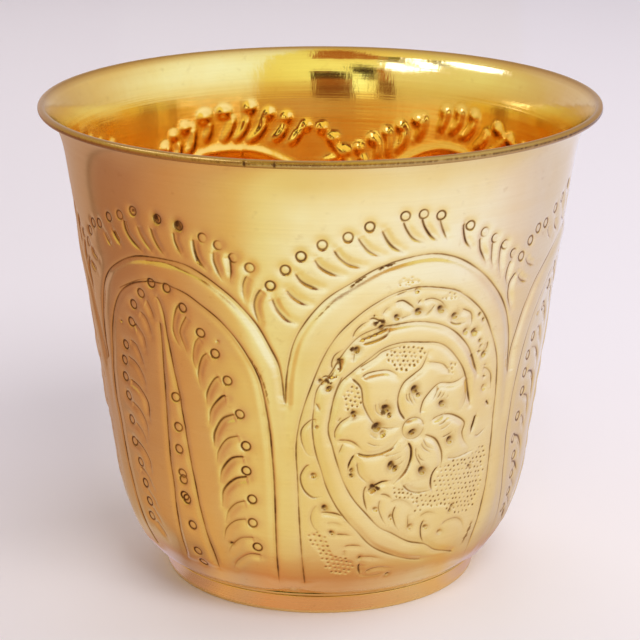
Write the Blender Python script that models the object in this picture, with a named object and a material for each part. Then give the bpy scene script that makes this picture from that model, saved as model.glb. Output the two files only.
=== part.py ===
"""Brass planter pot: a spun sheet-brass wall with a wired rim, a floor disc and a foot ring, all brazed together.

Metres, +Z up. The origin is on the ground at the centre of the foot, and every piece is turned about Z.
Each piece is drawn as its cross-section in millimetres, as (radius, height) points, and then spun round the axis.
The chased ornament is under 1 mm deep and isn't part of these solids.
"""

import math

import bmesh
import bpy
from mathutils import Vector

MM = 0.001
SPIN_STEPS = 64

# Driving sizes, in millimetres.
RIM_OUTER_DIAMETER = 203.2
HEIGHT = 176.7
SHEET = 0.7  # thickness of the wall's sheet
PLATE = 0.8  # thickness of the floor disc and of the foot ring
GAP = 0.3  # clearance between separate pieces that touch on the real pot

# Rim: the sheet's edge is rolled outwards and down round a core wire.
BEAD_RADIUS = 1.4
BEAD_R = RIM_OUTER_DIAMETER / 2 - BEAD_RADIUS
BEAD_Z = HEIGHT - BEAD_RADIUS
CURL_START = math.radians(125)
CURL_END = math.radians(-135)
CURL_POINTS = 11
WIRE_RADIUS = BEAD_RADIUS - SHEET - 0.25
WIRE_SIDES = 10

# Foot: a channel-section ring, open towards the axis, that tapers a little towards the ground.
FOOT_HEIGHT = 7.15
FOOT_TOP_R = 59.5
FOOT_BOTTOM_R = 57.7
FOOT_FLANGE_R = 50.0  # inner edge of the top flange
STAND_R = 53.5  # inner edge of the turned-in standing face
FOOT_CORNER = 0.5  # how far each outer corner is eased

# Wall: flat seat flange, round shoulder, straight taper and flared lip.
FLANGE_INNER_R = 49.0
FLANGE_OUTER_R = 57.0
FLANGE_Z = FOOT_HEIGHT + GAP + SHEET / 2
SHOULDER = [(59.6, 8.7), (62.3, 10.6), (66.1, 14.4), (69.8, 20.4), (73.1, 28.4), (75.6, 38.3), (77.5, 50.2)]
TAPER_TOP = (92.15, 160.5)
LIP = [(92.9, 164.5), (94.2, 168.2), (95.9, 171.6), (97.9, 174.4)]

DISC_R = 56.4
DISC_Z = FLANGE_Z + SHEET / 2 + GAP  # underside of the floor disc

# name: (base colour, roughness, metallic)
FINISHES = {
    "polished_brass": ((0.79, 0.57, 0.24, 1.0), 0.22, 1.0),
    "core_wire_steel": ((0.55, 0.55, 0.54, 1.0), 0.40, 1.0),
    "brazing_brass": ((0.70, 0.52, 0.26, 1.0), 0.38, 1.0),
}


def clear_scene():
    for obj in list(bpy.data.objects):
        bpy.data.objects.remove(obj, do_unlink=True)


def finish(name):
    """A Principled material made once for each finish."""
    if name in bpy.data.materials:
        return bpy.data.materials[name]
    colour, roughness, metallic = FINISHES[name]
    material = bpy.data.materials.new(name)
    material.use_nodes = True
    shader = material.node_tree.nodes["Principled BSDF"]
    shader.inputs["Base Color"].default_value = colour
    shader.inputs["Roughness"].default_value = roughness
    shader.inputs["Metallic"].default_value = metallic
    return material


def arc(centre, radius, start, end, points):
    """Points on a circle from the start angle to the end angle, in radians, both ends included."""
    step = (end - start) / (points - 1)
    angles = [start + i * step for i in range(points)]
    return [(centre[0] + radius * math.cos(a), centre[1] + radius * math.sin(a)) for a in angles]


def thickened(line, thickness):
    """The closed outline of a sheet of that thickness whose middle follows the line."""
    left, right = [], []
    for i, point in enumerate(line):
        before = Vector(line[max(i - 1, 0)])
        after = Vector(line[min(i + 1, len(line) - 1)])
        along = (after - before).normalized()
        side = Vector((-along.y, along.x)) * thickness / 2
        left.append(tuple(Vector(point) + side))
        right.append(tuple(Vector(point) - side))
    return left + right[::-1]


def spun(name, outline, finish_name, closed=True):
    """A solid made by spinning the outline round Z. An open outline starts and ends on the axis."""
    mesh = bpy.data.meshes.new(name)
    bm = bmesh.new()
    verts = [bm.verts.new((r * MM, 0.0, z * MM)) for r, z in outline]
    pairs = list(zip(verts, verts[1:]))
    if closed:
        pairs.append((verts[-1], verts[0]))
    edges = [bm.edges.new(pair) for pair in pairs]
    bmesh.ops.spin(
        bm,
        geom=verts + edges,
        cent=(0, 0, 0),
        axis=(0, 0, 1),
        angle=2 * math.pi,
        steps=SPIN_STEPS,
        use_merge=True,
    )
    bmesh.ops.remove_doubles(bm, verts=bm.verts, dist=1e-6)
    bmesh.ops.recalc_face_normals(bm, faces=bm.faces)
    bm.to_mesh(mesh)
    bm.free()
    mesh.shade_smooth()
    mesh.set_sharp_from_angle(angle=math.radians(40))
    mesh.materials.append(finish(finish_name))
    obj = bpy.data.objects.new(name, mesh)
    bpy.context.scene.collection.objects.link(obj)
    return obj


def wall():
    """The spun wall: from the seat flange, round the shoulder, up the taper and the lip, and round the curl."""
    flange = [(FLANGE_INNER_R, FLANGE_Z), (FLANGE_OUTER_R, FLANGE_Z)]
    curl = arc((BEAD_R, BEAD_Z), BEAD_RADIUS - SHEET / 2, CURL_START, CURL_END, CURL_POINTS)
    taper_bottom = Vector(SHOULDER[-1])
    taper_middle = tuple(taper_bottom.lerp(Vector(TAPER_TOP), 0.5))
    line = flange + SHOULDER + [taper_middle, TAPER_TOP] + LIP + curl
    return spun("body_wall", thickened(line, SHEET), "polished_brass")


def rim_wire():
    """The core wire that stiffens the rolled rim."""
    step = 2 * math.pi / WIRE_SIDES
    outline = arc((BEAD_R, BEAD_Z), WIRE_RADIUS, 0, 2 * math.pi - step, WIRE_SIDES)
    return spun("rim_wire", outline, "core_wire_steel")


def floor_disc():
    """The flat floor, which lies on the wall's seat flange."""
    top = DISC_Z + PLATE
    outline = [(0, top), (DISC_R, top), (DISC_R, DISC_Z), (0, DISC_Z)]
    return spun("floor_disc", outline, "polished_brass", closed=False)


def foot_ring():
    """The foot: top flange under the wall's flange, a tapered band, and a turned-in face to stand on."""
    ease = FOOT_CORNER
    outside = [
        (FOOT_TOP_R - ease, FOOT_HEIGHT),
        (FOOT_TOP_R, FOOT_HEIGHT - ease),
        (FOOT_BOTTOM_R, ease),
        (FOOT_BOTTOM_R - ease, 0),
    ]
    inside = [
        (STAND_R, 0),
        (STAND_R, PLATE),
        (FOOT_BOTTOM_R - PLATE, PLATE),
        (FOOT_TOP_R - PLATE, FOOT_HEIGHT - PLATE),
        (FOOT_FLANGE_R, FOOT_HEIGHT - PLATE),
        (FOOT_FLANGE_R, FOOT_HEIGHT),
    ]
    return spun("foot_ring", outside + inside, "polished_brass")


def foot_braze():
    """The fillet of filler metal in the outside corner between the wall's shoulder and the foot ring."""
    low = FOOT_HEIGHT + GAP
    outline = [
        (FOOT_TOP_R - 1.3, low),
        (FOOT_TOP_R - 0.2, low),
        (FOOT_TOP_R + 0.85, low + 0.95),
        (FOOT_TOP_R + 0.25, low + 0.6),
    ]
    return spun("foot_braze", outline, "brazing_brass")


def floor_braze():
    """The fillet of filler metal in the inside corner between the floor disc's edge and the wall."""
    inner, top = DISC_R + GAP, DISC_Z + PLATE
    outline = [
        (inner, top),
        (inner, top - 0.7),
        (inner + 2.6, top + 0.15),
        (inner + 4.6, top + 1.5),
        (inner + 2.1, top + 0.4),
    ]
    return spun("floor_braze", outline, "brazing_brass")


def main():
    clear_scene()
    wall()
    rim_wire()
    floor_disc()
    foot_ring()
    foot_braze()
    floor_braze()


main()
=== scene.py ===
"""Looks of the brass planter pot: a spun wall with chased arches, rolled rim, foot ring and floor.

Metres in the scene. Sizes here are in millimetres and angles round the axis in degrees: 0 degrees faces the
viewer (-Y) and angles grow towards +X. A place on the wall is written (angle, height). The ornament is one
pair of arches, a flower arch and a fern arch, chased three times round the pot.
"""

import math

import bmesh
import bpy
import numpy as np
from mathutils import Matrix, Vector


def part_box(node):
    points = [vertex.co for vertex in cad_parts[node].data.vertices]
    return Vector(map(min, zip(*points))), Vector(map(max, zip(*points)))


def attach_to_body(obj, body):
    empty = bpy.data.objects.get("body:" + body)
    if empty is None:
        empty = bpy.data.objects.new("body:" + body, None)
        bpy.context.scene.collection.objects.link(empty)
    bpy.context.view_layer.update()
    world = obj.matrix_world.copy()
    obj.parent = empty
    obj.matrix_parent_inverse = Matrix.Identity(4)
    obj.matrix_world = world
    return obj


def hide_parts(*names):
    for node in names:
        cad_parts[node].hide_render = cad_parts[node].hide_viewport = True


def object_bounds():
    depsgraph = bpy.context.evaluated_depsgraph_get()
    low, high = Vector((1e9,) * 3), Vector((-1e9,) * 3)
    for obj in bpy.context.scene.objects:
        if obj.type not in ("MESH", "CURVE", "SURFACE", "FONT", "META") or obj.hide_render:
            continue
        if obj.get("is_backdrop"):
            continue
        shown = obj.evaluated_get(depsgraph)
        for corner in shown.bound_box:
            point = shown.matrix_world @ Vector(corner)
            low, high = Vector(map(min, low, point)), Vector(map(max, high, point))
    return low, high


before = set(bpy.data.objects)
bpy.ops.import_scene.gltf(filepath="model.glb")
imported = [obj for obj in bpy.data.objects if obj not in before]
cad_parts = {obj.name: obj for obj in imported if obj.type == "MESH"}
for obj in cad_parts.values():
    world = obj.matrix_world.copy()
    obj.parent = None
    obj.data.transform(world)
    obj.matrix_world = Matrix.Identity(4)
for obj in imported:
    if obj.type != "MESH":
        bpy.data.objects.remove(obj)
CAD_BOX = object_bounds()

MM = 0.001
SEED = 7

# Sizes taken from the frame, in millimetres.
WALL_LOW, WALL_HIGH = [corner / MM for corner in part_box("body_wall")]
FOOT_LOW, FOOT_HIGH = [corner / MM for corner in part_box("foot_ring")]
DISC_LOW, DISC_HIGH = [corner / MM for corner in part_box("floor_disc")]
WIRE_LOW, WIRE_HIGH = [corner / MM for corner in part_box("rim_wire")]

SHEET = 0.7
PLATE = 0.8  # thickness of the foot ring's sheet
BEAD_RADIUS = 1.4
WIRE_RADIUS = 0.45
BEAD_R = WALL_HIGH.x - BEAD_RADIUS
BEAD_Z = WALL_HIGH.z - BEAD_RADIUS
FLANGE_Z = WALL_LOW.z  # underside of the wall's seat flange
FLANGE_INNER_R = 49.0
FOOT_FLANGE_R = 50.0  # inner edge of the foot ring's top flange
STAND_R = 53.5  # inner edge of the foot ring's standing face
FOOT_TAPER = 1.8  # how much the foot ring narrows towards the ground

# Grid of the wall: columns round the axis, and row spacing up its outer face.
COLUMNS = 1920
FINE_ROW = 0.28
LIMIT = 1.1  # depth that crossing marks level off at
LINE_DEPTH = 0.22  # depth of the cut of a line or a ring
TRAIL_STEP = 0.3  # spacing of the points along a chased line
OUTLINE_STEP = 0.5  # spacing of the points round a raised or sunk area
REPEATS = 3
REPEAT_ANGLE = 360 / REPEATS

# Outer face of the wall above its flange, as (radius, height).
OUTER_FACE = [
    (59.8, 8.4), (62.5, 10.3), (66.3, 14.2), (70.1, 20.2), (73.45, 28.3), (75.95, 38.2), (77.85, 50.2),
    (79.9, 65.6), (81.95, 81.0), (84.55, 100.6), (86.95, 118.7), (89.1, 134.9), (90.6, 146.2), (91.55, 153.4),
    (92.1, 157.4), (92.75, 161.2), (93.6, 164.8), (94.75, 168.2), (96.25, 171.3), (98.1, 174.1),
]


# ---------------------------------------------------------------- curves

def smooth_path(points, spacing, closed=False):
    """Points a set distance apart on a Catmull-Rom curve through the given ones."""
    p = np.array(points, float)
    if closed:
        p = np.vstack([p[-1], p, p[0], p[1]])
    else:
        p = np.vstack([2 * p[0] - p[1], p, 2 * p[-1] - p[-2]])
    t = np.linspace(0, 1, 25)[:-1, None]
    spans = []
    for a, b, c, d in zip(p, p[1:], p[2:], p[3:]):
        bend = 2 * a - 5 * b + 4 * c - d
        twist = 3 * b - a - 3 * c + d
        spans.append(0.5 * (2 * b + (c - a) * t + bend * t**2 + twist * t**3))
    dense = np.vstack(spans + [p[-2][None]])
    length = np.concatenate([[0], np.cumsum(np.hypot(*np.diff(dense, axis=0).T))])
    count = max(2, int(round(length[-1] / spacing)) + 1)
    at = np.linspace(0, length[-1], count)
    return np.column_stack([np.interp(at, length, dense[:, 0]), np.interp(at, length, dense[:, 1])])


def circle_arc(centre, radius, start, end, count):
    """Points on a circle from one angle to another, in degrees."""
    a = np.radians(np.linspace(start, end, count))
    return np.column_stack([centre[0] + radius * np.cos(a), centre[1] + radius * np.sin(a)])


def offset(path, distance):
    """The path moved sideways, to the left of the way it runs."""
    along = np.gradient(path, axis=0)
    along /= np.hypot(*along.T)[:, None]
    return path + distance * np.column_stack([-along[:, 1], along[:, 0]])


def bend_side(path):
    """Which way a path bends on the whole: 1 to the left, -1 to the right, near 0 for a straight one."""
    middle = path[len(path) // 2] - (path[0] + path[-1]) / 2
    chord = path[-1] - path[0]
    sag = (chord[0] * middle[1] - chord[1] * middle[0]) / max(float(chord @ chord), 1e-6)
    return -float(np.clip(sag * 12, -1, 1))


# ---------------------------------------------------------------- chased ornament
# Each list is one set of tool marks as (angle, height), at the arches that face the viewer.

FLOWER_OUTER = [
    (-8.3, 87), (-7.8, 98), (-6.1, 110), (-3.2, 118.5), (1.2, 126.5), (6.5, 132), (13, 137.5), (20, 140.2),
    (26, 140.3), (32, 137.2), (38, 131.2), (43, 124.3), (47.5, 116), (50.2, 107), (51.8, 97), (52.6, 87),
]
FLOWER_INNER = [
    (-4.6, 16), (-5.0, 28), (-5.45, 45), (-5.7, 60), (-5.9, 70), (-5.5, 77), (-4.3, 85), (-2.5, 93.2),
    (0.5, 105), (3.8, 113.6), (7.9, 120), (11.8, 124.4), (16.5, 128), (22, 129.3), (27, 128.2),
    (31.5, 126), (36, 121.5), (40.5, 114.8), (44, 106), (46.6, 97), (47.9, 87), (48.5, 75), (49, 62),
    (49.4, 48), (48.8, 38), (48, 27), (48.3, 18),
]
FERN_OUTER = [
    (-67, 88), (-66.5, 98), (-64.6, 107.5), (-61.5, 118), (-57.5, 124.8), (-52.5, 129.8), (-47, 133.7),
    (-42, 135.4), (-36, 135.9), (-30.7, 135.3), (-26.1, 132.4), (-22, 128.3), (-18.2, 123.4),
    (-14.3, 116.4), (-11.4, 108.4), (-9.3, 100.4), (-8.4, 87),
]
FERN_INNER = [
    (-59.8, 17), (-60.4, 28), (-61.8, 40), (-62.9, 50), (-63.6, 63), (-63.9, 75), (-63, 86), (-61.4, 95),
    (-59, 105), (-56.1, 113.2), (-52.3, 119.6), (-47.5, 124), (-42.5, 126.2), (-37, 126.8), (-31.8, 125.4),
    (-27.7, 122), (-23.2, 117.2), (-19.5, 111.2), (-16.4, 104), (-14.1, 96), (-12.8, 85), (-12, 73),
    (-11.6, 52), (-11.9, 30), (-12.2, 16),
]
STRAY_LINES = [  # second passes where the chaser's line didn't meet
    [(-42.6, 133.8), (-36, 134.6), (-28.7, 132.1), (-23.9, 129.3)],
    [(-53, 120.4), (-49, 123.4), (-43.5, 126.9), (-38, 128)],
    [(16.5, 127), (19.3, 128.4)],
    [(30, 127.4), (33.4, 124.8)],
    [(-12.5, 82), (-12.7, 74.4)],
]

FERN_STEM = [
    [(-39.9, 112.4), (-40.1, 104), (-40.6, 92), (-41.1, 82), (-41.7, 71), (-42, 60), (-42, 48), (-42.5, 34),
     (-43.1, 23), (-43.9, 18)],
    [(-40.6, 121.6), (-39.4, 120.2), (-38.5, 116), (-38.1, 108), (-37.3, 97), (-36.3, 85), (-35.6, 72),
     (-34.8, 58), (-33.9, 47), (-32.7, 34), (-31.6, 25), (-31.3, 18)],
]
FERN_STEM_RINGS = [
    (-41.2, 126), (-36.6, 125.5), (-37.6, 84.6), (-37.8, 73.2), (-38.3, 64.6), (-38.2, 55.1), (-38.1, 52.7),
    (-38.5, 46.1), (-37.8, 45), (-37, 35), (-37.4, 23.9), (-37.2, 18.7),
]
# Leaflets: the ring at the tip, if there is one, the curve of the leaflet, and how hard it was struck.
FERN_LEAFLETS = [
    ((-32.7, 119.2), [(-33.4, 120.6), (-34.8, 117.6), (-36.1, 111), (-35.6, 107.2), (-34.1, 104.2)], 0.8),
    (None, [(-31.7, 116.8), (-33.9, 111.2), (-34, 108), (-32.3, 101.8)], 0.6),
    ((-28.4, 111), [(-28.6, 109.6), (-30.2, 106.8), (-31.1, 101), (-30.3, 96.8)], 0.7),
    ((-25, 104.1), [(-26.8, 104.2), (-28.6, 101.8), (-30, 96), (-29.6, 90.8)], 0.7),
    ((-22.3, 94.6), [(-24.1, 96), (-25.9, 94.2), (-28, 89), (-28.3, 84.4)], 0.8),
    (None, [(-22.6, 88.8), (-24.3, 88), (-27.3, 82.8), (-28.1, 77.2)], 1.0),
    ((-19.7, 82.4), [(-20.9, 82.2), (-24.5, 79.6), (-26.9, 74), (-27.2, 69)], 1.15),
    ((-18.6, 70.5), [(-20, 74.2), (-23.6, 72.2), (-26.2, 67.2), (-26.8, 63)], 0.7),
    (None, [(-19.1, 66.4), (-22.7, 65), (-25.6, 60.2), (-26.4, 55.3)], 1.1),
    ((-18.9, 60.9), [(-18.5, 58.7), (-22.3, 57), (-25.7, 52), (-26.4, 45.7)], 1.2),
    ((-17.8, 50), [(-19.4, 49.2), (-22.4, 47.5), (-24.9, 43.8), (-25.9, 39.2)], 0.75),
    ((-18.1, 40.6), [(-19.5, 41.8), (-23, 40.5), (-25.9, 36.8), (-27, 32)], 0.6),
    (None, [(-17.8, 34.7), (-21.8, 33.7), (-24.9, 30), (-26.3, 26.7)], 0.7),
    ((-17.3, 30.8), [(-16.3, 27.4), (-20.2, 27.2), (-24.1, 23.5), (-25.9, 19.8)], 0.7),
    ((-45.2, 121), [(-44.2, 119), (-43.1, 117.8), (-41.4, 112.4)], 0.7),
    ((-48.5, 115.8), [(-46.6, 114.2), (-44.5, 112), (-42.9, 105.8)], 0.6),
    ((-50.4, 108.6), [(-50, 107), (-48.7, 107.8), (-46.6, 105), (-45.5, 100)], 0.8),
    ((-54.4, 98.6), [(-52.3, 101.4), (-49.5, 99.8), (-47.2, 93)], 0.7),
    ((-56.3, 92), [(-54.4, 94.4), (-50.8, 92.8), (-48.3, 88.2), (-47.9, 84.4)], 0.7),
    ((-57.1, 85.4), [(-55, 85.2), (-51.2, 83.6), (-48.4, 79.2), (-48.2, 72)], 1.1),
    ((-56.9, 78.2), [(-55.6, 76.6), (-52.2, 74.4), (-50.1, 69.5), (-50, 65)], 0.8),
    ((-57.4, 68.7), [(-55.3, 68.7), (-52.6, 66), (-50.6, 61.5)], 0.6),
    ((-57.7, 60.1), [(-57, 61.1), (-53.5, 59.2), (-51, 55.2), (-50.5, 51.3)], 1.1),
    ((-55.8, 52.7), [(-56.9, 50.5), (-53.6, 49), (-50.7, 44.4)], 0.9),
    ((-55, 44.8), [(-54.4, 42.7), (-52.1, 39.8), (-50.5, 37.2)], 0.5),
    ((-54.6, 37.6), [(-54, 35.8), (-52, 33), (-50.3, 30)], 0.5),
    ((-55.5, 31.3), [(-53.9, 30.1), (-52.1, 28.3), (-50, 24.2)], 0.8),
]

# Fringe above the arches: ring and its tilt (0 for a full ring, 1 for a half one), stroke, strength.
FRINGE = [
    ((-58.7, 142), 0.2, [(-57.2, 140), (-55.7, 136.7), (-54, 135)], 0.8),
    ((-53.7, 146), 0.2, [(-53.1, 141.7), (-52, 139.2), (-50.1, 136.7)], 1.2),
    ((-49.2, 148.2), 0.2, [(-48.2, 147.1), (-47.6, 142.9), (-45.7, 139.6), (-42.7, 136.9)], 1.0),
    ((-44.4, 151), 0.0, [(-43.6, 146.5), (-42.7, 142.9), (-41.3, 140), (-39.2, 137.3)], 0.8),
    ((-37.2, 150.1), 0.0, [(-39.5, 146.9), (-38.9, 143.3), (-37.7, 140), (-36.1, 137.5)], 0.8),
    ((-31.6, 149), 0.0, [(-33.1, 146.9), (-32.9, 143.3), (-32.2, 140.6), (-31.3, 138.5)], 0.8),
    ((-25.8, 146), 0.8, [(-28.2, 145.6), (-28.1, 141.7), (-27.4, 137.9), (-25.5, 134.8)], 1.1),
    ((-22.2, 144), 0.9, [(-23.4, 141.9), (-23.5, 138.3), (-22.7, 134.6), (-21.7, 131.7)], 0.8),
    ((-18.9, 140), 1.0, [(-19.8, 140.9), (-19.6, 135.4), (-19.9, 131.5)], 0.8),
    ((-15.3, 137), 0.4, [(-16, 134.4), (-16.9, 131.3), (-17.1, 127.9), (-16.8, 124.8)], 0.6),
    ((-10.9, 131), 0.0, [(-12.9, 129.8), (-14.2, 126.7), (-14.7, 122.9), (-13.9, 117.1)], 1.0),
    (None, 0.0, [(-10.7, 126.7), (-9.7, 122.9), (-7.8, 119.5), (-5.7, 117.8)], 0.9),
    ((-7.5, 136.9), 0.0, [(-7.6, 130), (-6.1, 127.4), (-4.2, 125.5), (-2.1, 124.4)], 0.7),
    ((-4.1, 141.9), 0.0, [(-5.5, 136), (-4.2, 133.1), (-2.1, 131.2), (0.3, 130.2)], 0.8),
    ((0.4, 146), 0.1, [(-1.4, 141.2), (-0.2, 138.3), (2, 136), (4.8, 134.7)], 0.7),
    ((5.8, 148.6), 0.1, [(2.7, 144.3), (4.1, 141.2), (6.2, 138.8), (9.3, 137.7)], 0.8),
    ((10.3, 152), 0.1, [(7.7, 148.6), (8.9, 145.7), (10.5, 143.1), (13.4, 141.1)], 0.7),
    (None, 0.0, [(12.8, 150.7), (14.1, 146.9), (15.5, 144.3), (17.7, 142.2)], 1.0),
    ((17.9, 154.9), 0.3, [(17.4, 153.3), (18.4, 149.8), (20, 146.7), (22.7, 144.8)], 0.8),
    ((22, 155), 0.4, [(21.6, 154), (22.4, 150.5), (23.9, 147.1), (25.5, 145.2)], 1.1),
    ((26.1, 153.9), 0.0, [(25.9, 153.3), (26.5, 149.8), (27.9, 145)], 0.9),
    ((33.8, 148.7), 0.2, [(32, 150.2), (32.2, 146.7), (32.9, 143.3), (34.3, 140.5)], 1.1),
    ((38, 145.3), 0.8, [(36.7, 143.8), (37.2, 139.5), (38.4, 136.2), (39.2, 134)], 1.0),
    ((41.4, 142.2), 1.0, [(40.8, 141.2), (40.8, 137.1), (41, 134.3), (41.5, 132.1)], 0.8),
    ((45, 138.8), 0.9, [(44.6, 140), (43.7, 138.1), (43.5, 133.8), (44.1, 128.8)], 0.9),
    ((48.3, 134.6), 1.0, [(47.9, 132.4), (47, 130), (46.7, 126.7), (47.2, 123.3)], 0.9),
    ((51.6, 132.4), 0.3, [(50.3, 127.1), (48.6, 124.3), (48.3, 120.5), (49.1, 116.7), (50, 113.3)], 1.0),
    ((54.6, 137.2), 0.1, [(51, 125.7), (52.7, 123.3), (55.5, 121.8)], 0.8),
    ((57.6, 140.6), 0.1, [(53.4, 131.4), (54.9, 128.6), (58, 126.9)], 0.7),
]

MEDALLION_OUTER = [
    (30, 22.6), (26, 23.8), (21.5, 26.1), (16.5, 29.4), (12.9, 33.1), (9.5, 38.7), (6.1, 44.4),
    (3.6, 49.8), (1.4, 56.8), (0, 63.9), (-1.2, 70), (-1.9, 78), (-1.6, 86), (-0.7, 93.6), (2.2, 99),
    (5.6, 107.6), (8.9, 112.8), (12.6, 115.2), (16.5, 116.2), (21.5, 116.6), (26, 115.4), (29.8, 113.2),
    (33.5, 109.2), (36.9, 103.6), (39.1, 97.6), (40.8, 92.4),
]
MEDALLION_INNER = [
    (42, 21.8), (38.5, 23.5), (33.9, 25.7), (29.8, 29.4), (24.3, 32), (19.3, 36.3), (15.6, 39.4),
    (11.8, 45.4), (8.4, 51.3), (6, 57.6), (4.3, 64.6), (3, 71.5), (1.9, 78), (2.6, 86), (4.4, 95),
    (7.2, 99.6), (10.9, 104), (14.7, 108), (18.8, 109.4), (24, 108.6), (28.3, 107.4), (31.6, 104),
    (35, 98), (36.8, 93.4), (38.2, 88.8), (39.5, 81.2),
]
BOSS = (23.1, 76.6)

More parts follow.
